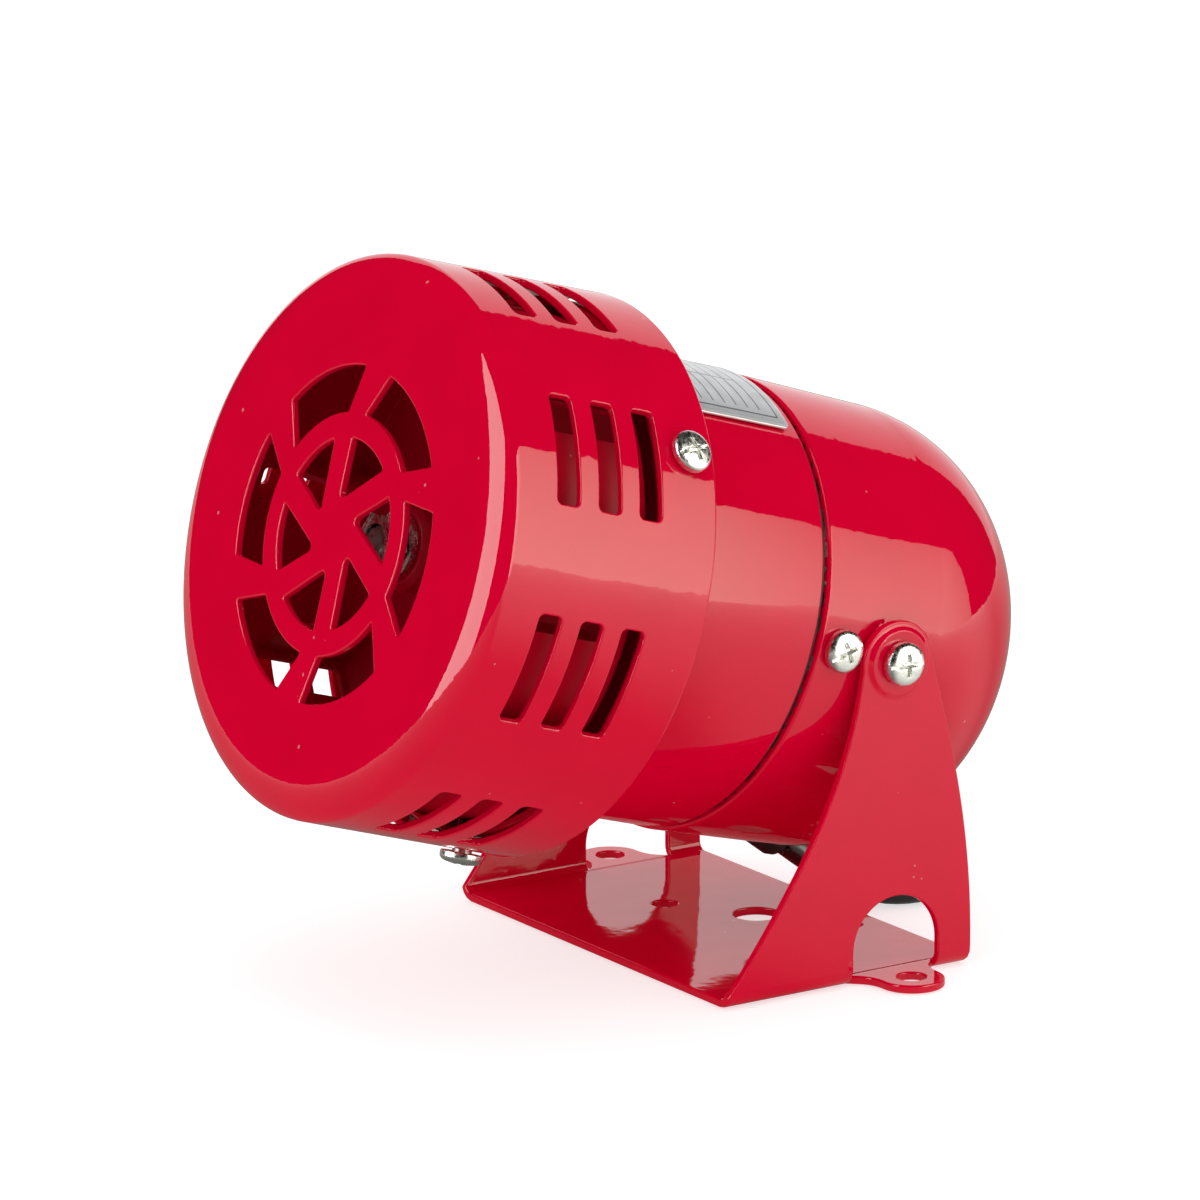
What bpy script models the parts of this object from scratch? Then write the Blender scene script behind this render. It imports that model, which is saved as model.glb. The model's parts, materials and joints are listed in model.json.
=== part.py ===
"""Compact electric alarm siren on a folded sheet-metal bracket.

Metres, +Z up.  The origin is the centre of the bracket's underside, the siren
sounds toward -Y, and its body tilts on two pivot screws along X.

Body pieces are laid out on the siren's own axis: a station is the distance
behind the front face, and an angle runs from +X over the top.
"""

import math

import bmesh
import bpy
import numpy as np
from mathutils import Matrix, Vector

# ---------------------------------------------------------------- driving sizes
CLEAR = 0.0003  # gap between pieces that touch

# tilt axis and pose
PIVOT = Vector((0.0, 0.0084, 0.0487))
PIVOT_STATION = 0.0785
TILT = math.radians(16.5)  # front raised

# bracket, one folded sheet
SHEET = 0.0013
BRACKET_WIDTH = 0.0732
PLATE_FRONT = -0.0219
PLATE_REAR = 0.0222
BEND_RADIUS = 0.0026  # outside of the fold
LUG_RADIUS = 0.0062
ARCH_HALF = 0.00775
ARCH_TOP = 0.0128
EAR_HALF = 0.0050
EAR_HOLE_X = 0.0404
EAR_HOLE_RADIUS = 0.00225
DIMPLE_RADIUS = 0.0055  # pressed out round each pivot screw
DIMPLE_HEIGHT = 0.0006

# sounding head
CAP_FRONT_RADIUS = 0.04195
CAP_RIM_RADIUS = 0.0425
CAP_LENGTH = 0.0380
CAP_CORNER_DEPTH = 0.0032  # the soft front edge is a quarter ellipse
CAP_CORNER_REACH = 0.0060
CAP_WALL = 0.0012
SLOT_STATIONS = (0.0117, 0.0190, 0.0262)
SLOT_WIDTH = 0.0039
SLOT_HALF_ANGLE = math.radians(11.6)
SLOT_GROUPS = 8
SLOT_START = math.radians(30.8)
GRILLE_OUTER = (0.0181, 0.0250)
GRILLE_INNER = (0.0050, 0.0143)
GRILLE_FOLD = 6

# housing behind the head
TUBE_RADIUS = 0.0346
TUBE_WALL = 0.0013
TUBE_SPAN = (0.0383, 0.0639)
COVER_FRONT_RADIUS = 0.0349
COVER_REAR_RADIUS = 0.0342
COVER_SPAN = (0.0648, 0.1148)
DOME_RADIUS = 0.0277
COVER_WALL = 0.0015
BOSS_FACE_X = 0.0350
BOSS_RADIUS = 0.0058
GASKET_SPAN = (0.0642, 0.0645)
LABEL_SPAN = (0.0405, 0.0620)
LABEL_HALF_ANGLE = math.radians(33.0)

# fasteners
HEAD_SCREW_STATION = 0.0333
HEAD_SCREW_START = math.radians(34.4)
COVER_SCREW_STATION = 0.0689
SCREW_HEAD_RADIUS = 0.0032
SCREW_SHANK_RADIUS = 0.0015
PIVOT_HEAD_RADIUS = 0.0033
PIVOT_SHANK_RADIUS = 0.0020

# rotor and motor
SHAFT_RADIUS = 0.0025
DRUM_RADIUS = 0.0380
DRUM_WALL = 0.0010
DRUM_SPAN = (0.0085, 0.0285)
PORTS = 8
PORT_START = math.radians(41.5)
PORT_HALF_ANGLE = math.radians(3.9)
PORT_SPAN = (0.0100, 0.0264)
VANE_INNER = 0.0280
VANE_LAG = math.radians(6.5)  # each vane stands just behind its port
CAN_RADIUS = 0.0269
CORE_RADIUS = 0.0202
CORE_SPAN = (0.0500, 0.0760)
CORE_SLOTS = 8

# lead
CORD_RADIUS = 0.0021
CORD_EXIT_STATION = 0.0940
CORD_EXIT_ANGLE = math.radians(-98.0)
CORD_DIRECTION = Vector((0.10, 0.78, -0.61)).normalized()
COIL_CENTRE = Vector((-0.0580, 0.0564, 0.0))
COIL_RADII = (0.0127, 0.0263)

ROUND = 48  # facets of a full turn on the large shells


# ---------------------------------------------------------------- scene, materials
for old in list(bpy.data.objects):
    bpy.data.objects.remove(old, do_unlink=True)


def material(name, colour, roughness, metallic=0.0):
    m = bpy.data.materials.new(name)
    m.use_nodes = True
    shader = m.node_tree.nodes["Principled BSDF"]
    shader.inputs["Base Color"].default_value = (*colour, 1.0)
    shader.inputs["Roughness"].default_value = roughness
    shader.inputs["Metallic"].default_value = metallic
    m.diffuse_color = (*colour, 1.0)
    return m


RED = material("red_enamel", (0.60, 0.0, 0.025), 0.22)
ZINC = material("bright_zinc", (0.80, 0.80, 0.78), 0.25, 1.0)
STEEL = material("steel", (0.55, 0.55, 0.56), 0.35, 1.0)
LABEL = material("silver_label", (0.62, 0.63, 0.65), 0.35, 0.6)
RUBBER = material("black_rubber", (0.012, 0.012, 0.014), 0.55)
JACKET = material("black_jacket", (0.010, 0.010, 0.012), 0.30)
COPPER = material("copper", (0.80, 0.36, 0.20), 0.35, 1.0)
FERRITE = material("ferrite", (0.05, 0.05, 0.055), 0.6)
CARBON = material("carbon", (0.03, 0.03, 0.03), 0.7)
BRASS = material("brass", (0.78, 0.57, 0.22), 0.3, 1.0)
RED_CORE = material("red_insulation", (0.55, 0.01, 0.01), 0.35)


# ---------------------------------------------------------------- building helpers
def add(name, mesh, mat, parent=None):
    o = bpy.data.objects.new(name, mesh)
    bpy.context.scene.collection.objects.link(o)
    if mat:
        mesh.materials.clear()
        mesh.materials.append(mat)
    o.parent = parent
    return o


def mesh_from(bm, name):
    bmesh.ops.recalc_face_normals(bm, faces=bm.faces)
    mesh = bpy.data.meshes.new(name)
    bm.to_mesh(mesh)
    bm.free()
    mesh.shade_smooth()
    mesh.set_sharp_from_angle(angle=math.radians(35))
    return mesh


def polar(radius, angle, station=0.0):
    """A point of the body frame, whose origin is on the pivot."""
    return Vector((radius * math.cos(angle), station - PIVOT_STATION, radius * math.sin(angle)))


def lathe(bm, profile, facets=ROUND, start=0.0, sweep=2 * math.pi):
    """Turn a closed (station, radius) outline about the siren's axis."""
    whole = abs(sweep - 2 * math.pi) < 1e-6
    turns = facets if whole else facets + 1
    rings = []
    for station, radius in profile:
        if radius < 1e-7:
            rings.append([bm.verts.new(polar(0.0, 0.0, station))] * turns)
        else:
            angles = [start + sweep * k / facets for k in range(turns)]
            rings.append([bm.verts.new(polar(radius, a, station)) for a in angles])
    for a, b in zip(rings, rings[1:] + rings[:1]):
        if a[0] is a[1] and b[0] is b[1]:
            continue
        for k in range(facets):
            n = (k + 1) % turns
            corners = [a[k], a[n], b[n], b[k]]
            bm.faces.new(list(dict.fromkeys(corners)))
    if not whole:
        bm.faces.new([r[0] for r in rings])
        bm.faces.new([r[-1] for r in reversed(rings)])


def turned(name, profile, mat, parent, facets=ROUND, start=0.0, sweep=2 * math.pi):
    bm = bmesh.new()
    lathe(bm, profile, facets, start, sweep)
    return add(name, mesh_from(bm, name), mat, parent)


def prism(bm, outline, place, low, high):
    """Extrude a 2-D outline between two heights; place(u, v, h) gives the point."""
    bottom = [bm.verts.new(place(u, v, low)) for u, v in outline]
    top = [bm.verts.new(place(u, v, high)) for u, v in outline]
    bm.faces.new(bottom)
    bm.faces.new(list(reversed(top)))
    for k in range(len(outline)):
        n = (k + 1) % len(outline)
        bm.faces.new([bottom[k], bottom[n], top[n], top[k]])


def along_x(u, v, h):
    return (h, u, v)


def along_y(u, v, h):
    return (u, h, v)


def along_z(u, v, h):
    return (u, v, h)


def box(bm, low, high):
    outline = [(low[0], low[1]), (high[0], low[1]), (high[0], high[1]), (low[0], high[1])]
    prism(bm, outline, along_z, low[2], high[2])


def arc(centre, radius, start, stop, steps):
    angles = [start + (stop - start) * k / steps for k in range(steps + 1)]
    return [(centre[0] + radius * math.cos(a), centre[1] + radius * math.sin(a)) for a in angles]


def rounded(corners, radius, steps=3):
    """A closed outline with every corner replaced by a small arc."""
    out = []
    for k, here in enumerate(corners):
        here = Vector(here)
        before = (Vector(corners[k - 1]) - here).normalized()
        after = (Vector(corners[(k + 1) % len(corners)]) - here).normalized()
        half = before.angle(after) / 2
        reach = radius / math.tan(half)
        a, b = here + before * reach, here + after * reach
        middle = here + (before + after).normalized() * (radius / math.sin(half))
        first, last = (a - middle), (b - middle)
        for j in range(steps + 1):
            ray = first.lerp(last, j / steps).normalized() * radius
            out.append(tuple(middle + ray))
    return out


def boolean(o, bm, operation="DIFFERENCE", parent=None):
    """Cut or join a helper mesh; the helper stays in the file as a guide."""
    tool = add(o.name + "_guide", mesh_from(bm, o.name + "_guide"), None, parent)
    tool.hide_render = True
    tool.display_type = "WIRE"
    m = o.modifiers.new(operation.title(), "BOOLEAN")
    m.operation = operation
    m.solver = "EXACT"
    m.object = tool
    return tool


def empty(name, location, parent=None):
    e = bpy.data.objects.new(name, None)
    e.empty_display_size = 0.01
    e.location = location
    e.parent = parent
    bpy.context.scene.collection.objects.link(e)
    return e


def bezier(a, b, c, d, steps):
    out = []
    for k in range(steps + 1):
        t = k / steps
        w = ((1 - t) ** 3, 3 * t * (1 - t) ** 2, 3 * t * t * (1 - t), t**3)
        out.append(tuple(sum(wi * p[i] for wi, p in zip(w, (a, b, c, d))) for i in (0, 1)))
    return out


def smooth_curve(points, spacing):
    """Points a fixed distance apart on one Catmull-Rom curve through a route."""
    p = [Vector(q) for q in points]
    p = [p[0] * 2 - p[1]] + p + [p[-1] * 2 - p[-2]]
    fine = []
    for a, b, c, d in zip(p, p[1:], p[2:], p[3:]):
        for k in range(24):
            t = k / 24
            fine.append(
                0.5 * (2 * b + (c - a) * t + (2 * a - 5 * b + 4 * c - d) * t * t
                       + (3 * b - a - 3 * c + d) * t**3)
            )
    fine.append(p[-2])
    steps = [0.0]
    for a, b in zip(fine, fine[1:]):
        steps.append(steps[-1] + (b - a).length)
    count = max(2, round(steps[-1] / spacing))
    at = np.linspace(0.0, steps[-1], count + 1)
    xyz = [np.interp(at, steps, [v[i] for v in fine]) for i in range(3)]
    return [Vector(q) for q in zip(*xyz)]


def tube(name, points, radius, mat, parent=None, resolution=2):
    curve = bpy.data.curves.new(name, "CURVE")
    curve.dimensions = "3D"
    curve.bevel_depth = radius
    curve.bevel_resolution = resolution
    curve.use_fill_caps = True
    spline = curve.splines.new("POLY")
    spline.points.add(len(points) - 1)
    for target, q in zip(spline.points, points):
        target.co = (*q, 1.0)
    curve.materials.append(mat)
    o = bpy.data.objects.new(name, curve)
    bpy.context.scene.collection.objects.link(o)
    o.parent = parent
    return o


# ---------------------------------------------------------------- joint frames
tilt_axis = empty("tilt_axis", PIVOT)
tilt_axis.rotation_euler = (-TILT, 0.0, 0.0)
spin_axis = empty("spin_axis", (0.0, 0.0, 0.0), tilt_axis)


# ---------------------------------------------------------------- bracket
def fold_outline():
    """The sheet's section in X and Z: base plate, two folds and two arms."""
    half, inner = BRACKET_WIDTH / 2, BEND_RADIUS - SHEET
    top = PIVOT.z + LUG_RADIUS + 0.004
    quarter = math.pi / 2
    right = arc((half - BEND_RADIUS, BEND_RADIUS), BEND_RADIUS, -quarter, 0, 5)
    right += [(half, top), (half - SHEET, top)]
    right += arc((half - BEND_RADIUS, BEND_RADIUS), inner, 0, -quarter, 5)
    return right + [(-x, z) for x, z in reversed(right)]


def arm_outline():
    """The arms' side view in Y and Z, with a round lug about the pivot."""
    y, z = PIVOT.y, PIVOT.z
    front = bezier((PLATE_FRONT, 0.0018), (y - 0.0150, 0.0210), (y - 0.0085, 0.0330),
                   (y - LUG_RADIUS, z - 0.0010), 12)
    lug = arc((y, z), LUG_RADIUS, math.pi, 0.0, 14)[1:]
    rear = bezier(lug[-1], (y + 0.0098, 0.0360), (PLATE_REAR, 0.0220), (PLATE_REAR, 0.0040), 10)
    return [(PLATE_FRONT, -0.002)] + front + lug + rear[1:] + [(PLATE_REAR, -0.002)]


def ear_outline(side):
    """An ear in plan: as wide as its arch at the fold, then narrower, with a round end."""
    root, neck = BRACKET_WIDTH / 2 - 0.0014, BRACKET_WIDTH / 2 + 0.0018
    end = arc((EAR_HOLE_X, PIVOT.y), EAR_HALF, -math.pi / 2, math.pi / 2, 10)
    low = [(0.0310, -ARCH_HALF - 0.0010), (root - 0.0012, -ARCH_HALF - 0.0010),
           (root, -ARCH_HALF + 0.0003), (neck, -EAR_HALF - 0.0002)]
    high = [(x, -y) for x, y in reversed(low)]
    points = [(x, PIVOT.y + y) for x, y in low] + end + [(x, PIVOT.y + y) for x, y in high]
    return [(side * x, y) for x, y in points]


def disc_cutter(bm, x, y, radius, facets=24):
    prism(bm, arc((x, y), radius, 0, 2 * math.pi * (1 - 1 / facets), facets - 1), along_z, -0.005, 0.005)


def build_bracket():
    bm = bmesh.new()
    prism(bm, fold_outline(), along_y, PLATE_FRONT, PLATE_REAR)
    bracket = add("mounting_bracket", mesh_from(bm, "mounting_bracket"), RED)

    trim = bmesh.new()
    prism(trim, arm_outline(), along_x, -0.05, 0.05)
    boolean(bracket, trim, "INTERSECT")

    arch = [(PIVOT.y - ARCH_HALF, -0.002)]
    arch += arc((PIVOT.y, ARCH_TOP - ARCH_HALF), ARCH_HALF, math.pi, 0.0, 16)
    arch += [(PIVOT.y + ARCH_HALF, -0.002)]
    cut = bmesh.new()
    for low, high in ((0.0336, 0.040), (-0.040, -0.0336)):
        prism(cut, arch, along_x, low, high)
    boolean(bracket, cut)

    ears = bmesh.new()
    for side in (1, -1):
        prism(ears, ear_outline(side), along_z, 0.0, SHEET)
    boolean(bracket, ears, "UNION")

    holes = bmesh.new()
    for x in (EAR_HOLE_X, -EAR_HOLE_X):
        disc_cutter(holes, x, PIVOT.y, EAR_HOLE_RADIUS)
    disc_cutter(holes, 0.0, PIVOT.y, 0.0036)
    for x, y in ((-0.0126, -0.0084), (0.0126, 0.0084)):
        disc_cutter(holes, x, PIVOT.y + y, 0.0020)
    boolean(bracket, holes)

    dimples = bmesh.new()
    for side in (1, -1):
        face = BRACKET_WIDTH / 2
        rings = [
            [dimples.verts.new((side * x, PIVOT.y + r * math.cos(a), PIVOT.z + r * math.sin(a)))
             for a in (2 * math.pi * k / 32 for k in range(32))]
            for x, r in ((face - 0.0006, DIMPLE_RADIUS), (face, DIMPLE_RADIUS),
                         (face + DIMPLE_HEIGHT, DIMPLE_RADIUS - 0.0006))
        ]
        for a, b in zip(rings, rings[1:]):
            for k in range(32):
                dimples.faces.new([a[k], a[(k + 1) % 32], b[(k + 1) % 32], b[k]])
        dimples.faces.new(rings[0])
        dimples.faces.new(rings[-1])
    boolean(bracket, dimples, "UNION")

    pins = bmesh.new()
    ring = arc((PIVOT.y, PIVOT.z), PIVOT_SHANK_RADIUS + 0.0004, 0, 2 * math.pi * 23 / 24, 23)
    prism(pins, ring, along_x, -0.05, 0.05)
    boolean(bracket, pins)


# ---------------------------------------------------------------- sounding head
def dome_arc(radius, centre_station, centre_radius, steps):
    """Quarter circle from the side of a shell round to its end face."""
    return [
        (centre_station + radius * math.sin(a), centre_radius + radius * math.cos(a))
        for a in (math.pi / 2 * k / steps for k in range(steps + 1))
    ]


def sector(bm, stations, radii, centre, half_angle, steps=3, corner=0.0):
    """A block of the shell between two stations and two radii."""
    middle, half = sum(stations) / 2, (stations[1] - stations[0]) / 2
    nudge = corner / radii[1]
    angles = [-half_angle, -half_angle + nudge] if corner else [-half_angle]
    inner = [half_angle * (2 * k / steps - 1) for k in range(1, steps)]
    angles += inner + ([half_angle - nudge] if corner else []) + [half_angle]
    rows = []
    for k, a in enumerate(angles):
        w = half - (corner if k in (0, len(angles) - 1) else 0.0)
        rows.append([
            bm.verts.new(polar(r, centre + a, middle + side * w))
            for r, side in ((radii[0], -1), (radii[1], -1), (radii[1], 1), (radii[0], 1))
        ])
    for a, b in zip(rows, rows[1:]):
        for k in range(4):
            bm.faces.new([a[k], a[k - 1], b[k - 1], b[k]])
    bm.faces.new(rows[0])
    bm.faces.new(list(reversed(rows[-1])))


def grille_openings(bm):
    """Six slanted outer windows and six inner triangles round a plain hub."""
    deg = math.radians
    pitch = 2 * math.pi / GRILLE_FOLD
    for k in range(GRILLE_FOLD):
        turn = k * pitch
        low, high = GRILLE_OUTER
        window = arc((0, 0), high, turn + deg(94), turn + deg(138), 5)
        window += arc((0, 0), low, turn + deg(146), turn + deg(101), 5)
        low, high = GRILLE_INNER
        triangle = arc((0, 0), high, turn + deg(112), turn + deg(153), 4)
        triangle += [(low * math.cos(turn + deg(155)), low * math.sin(turn + deg(155)))]
        for shape in (window, triangle):
            prism(bm, rounded(shape, 0.0006, 2), along_y, -PIVOT_STATION - 0.002,
                  -PIVOT_STATION + 0.0028)


def radial_holes(bm, station, start, count, radius, reach, facets=16):
    for k in range(count):
        turn = Matrix.Rotation(-(start + k * 2 * math.pi / count), 4, "Y")
        at = Vector((0.0, station - PIVOT_STATION, 0.0))
        ring = arc((0, 0), radius, 0, 2 * math.pi * (facets - 1) / facets, facets - 1)
        prism(bm, ring, lambda u, v, h: at + (turn @ Vector((h, u, v))), *reach)


def cap_corner(inset, steps):
    """Soft front edge of the cap, from its flat face to its side."""
    depth, reach = CAP_CORNER_DEPTH - inset, CAP_CORNER_REACH - inset
    turns = [math.pi / 2 * k / steps for k in range(steps + 1)]
    return [(CAP_CORNER_DEPTH - depth * math.cos(a),
             CAP_FRONT_RADIUS - CAP_CORNER_REACH + reach * math.sin(a)) for a in turns]


def build_head():
    profile = [(0.0, 0.0)] + cap_corner(0.0, 5)
    profile += [(CAP_LENGTH - 0.0004, CAP_RIM_RADIUS), (CAP_LENGTH, CAP_RIM_RADIUS - 0.0004)]
    profile += [(CAP_LENGTH, CAP_RIM_RADIUS - CAP_WALL)]
    profile += cap_corner(CAP_WALL, 3)[::-1] + [(CAP_WALL, 0.0)]
    cap = turned("front_grille_cap", profile, RED, tilt_axis)

    cut = bmesh.new()
    grille_openings(cut)
    for k in range(SLOT_GROUPS):
        centre = SLOT_START + k * 2 * math.pi / SLOT_GROUPS
        for s in SLOT_STATIONS:
            sector(cut, (s - SLOT_WIDTH / 2, s + SLOT_WIDTH / 2), (0.0385, 0.0445), centre,
                   SLOT_HALF_ANGLE, corner=0.0006)
    radial_holes(cut, HEAD_SCREW_STATION, HEAD_SCREW_START, 3, SCREW_SHANK_RADIUS + 0.0004,
                 (0.038, 0.046))
    boolean(cap, cut, parent=tilt_axis)

    plate = turned("head_back_plate", [
        (0.0362, 0.0092), (0.0362, 0.0376), (0.0356, 0.0390), (0.0295, 0.0390),
        (0.0295, 0.0404), (0.0368, 0.0404), (0.0377, 0.0396), (0.0377, 0.0092),
    ], RED, tilt_axis)
    cut = bmesh.new()
    radial_holes(cut, HEAD_SCREW_STATION, HEAD_SCREW_START, 3, SCREW_SHANK_RADIUS + 0.0004,
                 (0.036, 0.043))
    boolean(plate, cut, parent=tilt_axis)


# ---------------------------------------------------------------- screws
def screw_mesh(name, head, shank, height, length):
    """A pan head on a plain shank, along +X, with a cross recess."""
    steps = 12
    dome = [(0.0, head), (height * 0.45, head), (height * 0.8, head * 0.86), (height, head * 0.55)]
    outline = [(-length, 0.0), (-length, shank * 0.8), (-length + 0.0006, shank), (0.0, shank)]
    outline += dome + [(height, 0.0)]
    bm = bmesh.new()
    rings = []
    for x, r in outline:
        count = 1 if r == 0 else steps
        rings.append([bm.verts.new((x, r * math.cos(a), r * math.sin(a)))
                      for a in (2 * math.pi * k / steps for k in range(count))] * (steps // count))
    for a, b in zip(rings, rings[1:]):
        for k in range(steps):
            n = (k + 1) % steps
            bm.faces.new(list(dict.fromkeys([a[k], a[n], b[n], b[k]])))
    return mesh_from(bm, name)


def cross_cutter(bm, head, height):
    wide, deep = head * 0.62, height * 0.55
    narrow = head * 0.13
    outline = [(-wide, -narrow), (-narrow, -narrow), (-narrow, -wide), (narrow, -wide),
               (narrow, -narrow), (wide, -narrow), (wide, narrow), (narrow, narrow),
               (narrow, wide), (-narrow, wide), (-narrow, narrow), (-wide, narrow)]
    prism(bm, outline, along_x, height - deep, height + 0.001)


def radial_screw(name, mesh, cutter, radius, station, angle):
    o = add(name, mesh, ZINC, tilt_axis)
    o.location = polar(radius, angle, station)
    o.rotation_euler = (0.0, -angle, 0.0)
    m = o.modifiers.new("Recess", "BOOLEAN")
    m.operation = "DIFFERENCE"
    m.solver = "EXACT"
    tool = add(name + "_recess_guide", cutter, None, o)
    tool.hide_render = True
    tool.display_type = "WIRE"
    m.object = tool
    return o


def build_screws():
    small = screw_mesh("case_screw", SCREW_HEAD_RADIUS, SCREW_SHANK_RADIUS, 0.0018, 0.0065)
    bm = bmesh.new()
    cross_cutter(bm, SCREW_HEAD_RADIUS, 0.0018)
    small_cut = mesh_from(bm, "case_screw_recess")
    third = 2 * math.pi / 3
    for k in range(3):
        radial_screw(f"head_screw_{k + 1}", small, small_cut, 0.04285, HEAD_SCREW_STATION,
                     HEAD_SCREW_START + k * third)
        radial_screw(f"cover_screw_{k + 1}", small, small_cut, 0.03520, COVER_SCREW_STATION,
                     k * third)
    large = screw_mesh("pivot_bolt", PIVOT_HEAD_RADIUS, PIVOT_SHANK_RADIUS, 0.0020, 0.0095)
    bm = bmesh.new()
    cross_cutter(bm, PIVOT_HEAD_RADIUS, 0.0020)
    large_cut = mesh_from(bm, "pivot_bolt_recess")
    hexagon = arc((0, 0), 0.0040, 0, 2 * math.pi * 5 / 6, 5)
    hole = arc((0, 0), PIVOT_SHANK_RADIUS + 0.0003, 0, 2 * math.pi * 15 / 16, 15)
    ring = arc((0, 0), 0.0046, 0, 2 * math.pi * 23 / 24, 23)
    for name, angle in (("right", 0.0), ("left", math.pi)):
        side = 1 if angle == 0.0 else -1
        radial_screw(f"pivot_screw_{name}", large, large_cut, BRACKET_WIDTH / 2 + DIMPLE_HEIGHT + CLEAR,
                     PIVOT_STATION, angle)
        for label, outline, low, high in (
            ("pivot_washer", ring, 0.0315, 0.0323),
            ("pivot_nut", hexagon, 0.0284, 0.0312),
        ):
            bm = bmesh.new()
            prism(bm, outline, along_x, side * low, side * high)
            o = add(f"{label}_{name}", mesh_from(bm, label), ZINC, tilt_axis)
            bm = bmesh.new()
            prism(bm, hole, along_x, side * 0.027, side * 0.034)
            boolean(o, bm, parent=tilt_axis)


# ---------------------------------------------------------------- housing
def cord_frame():
    """Where the lead leaves the rear cover, in the world frame."""
    along = CORD_EXIT_STATION - COVER_SPAN[1] + DOME_RADIUS
    rise = math.sqrt(DOME_RADIUS**2 - along**2)
    radius = COVER_REAR_RADIUS - DOME_RADIUS + rise
    local = polar(radius, CORD_EXIT_ANGLE, CORD_EXIT_STATION)
    return PIVOT + Matrix.Rotation(-TILT, 3, "X") @ local


def build_housing():
    front, rear = TUBE_SPAN
    inner = TUBE_RADIUS - TUBE_WALL
    turned("middle_housing", [
        (front, 0.0270), (front, TUBE_RADIUS), (rear, TUBE_RADIUS), (rear, inner),
        (front + 0.0013, inner), (front + 0.0013, 0.0270),
    ], RED, tilt_axis)

    turned("coupling_ring", [(0.0540, 0.0313), (0.0540, 0.03295), (0.0735, 0.03295),
                             (0.0735, 0.0313)], STEEL, tilt_axis)
    ring = bpy.data.objects["coupling_ring"]
    cut = bmesh.new()
    radial_holes(cut, COVER_SCREW_STATION, 0.0, 3, SCREW_SHANK_RADIUS + 0.0004, (0.030, 0.035))
    boolean(ring, cut, parent=tilt_axis)

    seam_start, seam_end = GASKET_SPAN
    turned("seam_gasket", [(seam_start, 0.0333), (seam_start, 0.0340), (seam_end, 0.0340),
                           (seam_end, 0.0333)], RUBBER, tilt_axis)

    label = TUBE_RADIUS + CLEAR
    turned("label_plate", [(LABEL_SPAN[0], label), (LABEL_SPAN[0], label + 0.0004),
                           (LABEL_SPAN[1], label + 0.0004), (LABEL_SPAN[1], label)],
           LABEL, tilt_axis, 20, math.pi / 2 - LABEL_HALF_ANGLE, 2 * LABEL_HALF_ANGLE)

    start, end = COVER_SPAN
    side_end = end - DOME_RADIUS
    outer = dome_arc(DOME_RADIUS, side_end, COVER_REAR_RADIUS - DOME_RADIUS, 8)
    inside = dome_arc(DOME_RADIUS - COVER_WALL, side_end, COVER_REAR_RADIUS - DOME_RADIUS, 4)
    cover = turned("rear_cover", [
        (start, COVER_FRONT_RADIUS - COVER_WALL), (start, COVER_FRONT_RADIUS - 0.0003),
        (start + 0.0003, COVER_FRONT_RADIUS), *outer, (end, 0.0),
        (end - COVER_WALL, 0.0), *inside[::-1],
    ], RED, tilt_axis)

    bosses = bmesh.new()
    ring = arc((0.0, 0.0), BOSS_RADIUS, 0, 2 * math.pi * 31 / 32, 31)
    for side in (1, -1):
        prism(bosses, ring, along_x, side * (BOSS_FACE_X - 0.0015), side * BOSS_FACE_X)
    boolean(cover, bosses, "UNION", parent=tilt_axis)

    cut = bmesh.new()
    radial_holes(cut, COVER_SCREW_STATION, 0.0, 3, SCREW_SHANK_RADIUS + 0.0004, (0.032, 0.037))
    radial_holes(cut, PIVOT_STATION, 0.0, 2, PIVOT_SHANK_RADIUS + 0.0004, (0.030, 0.038))
    boolean(cover, cut, parent=tilt_axis)

    outlet = bmesh.new()
    lean = Vector((0, 0, 1)).rotation_difference(CORD_DIRECTION)
    at = cord_frame()
    hole = arc((0, 0), 0.0038, 0, 2 * math.pi * 23 / 24, 23)
    prism(outlet, hole, lambda u, v, h: at + lean @ Vector((u, v, h)), -0.0075, 0.0075)
    boolean(cover, outlet)

    relief = bmesh.new()
    steps = 20
    rings = []
    for h, r in ((-0.0026, 0.0029), (-0.0021, 0.0034), (0.0010, 0.0034), (0.0026, 0.0029)):
        rings.append([relief.verts.new(at + lean @ Vector((r * math.cos(a), r * math.sin(a), h)))
                      for a in (2 * math.pi * k / steps for k in range(steps))])
    for a, b in zip(rings, rings[1:]):
        for k in range(steps):
            relief.faces.new([a[k], a[(k + 1) % steps], b[(k + 1) % steps], b[k]])
    relief.faces.new(rings[0])
    relief.faces.new(rings[-1])
    add("cable_grommet", mesh_from(relief, "cable_grommet"), RUBBER)


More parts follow.
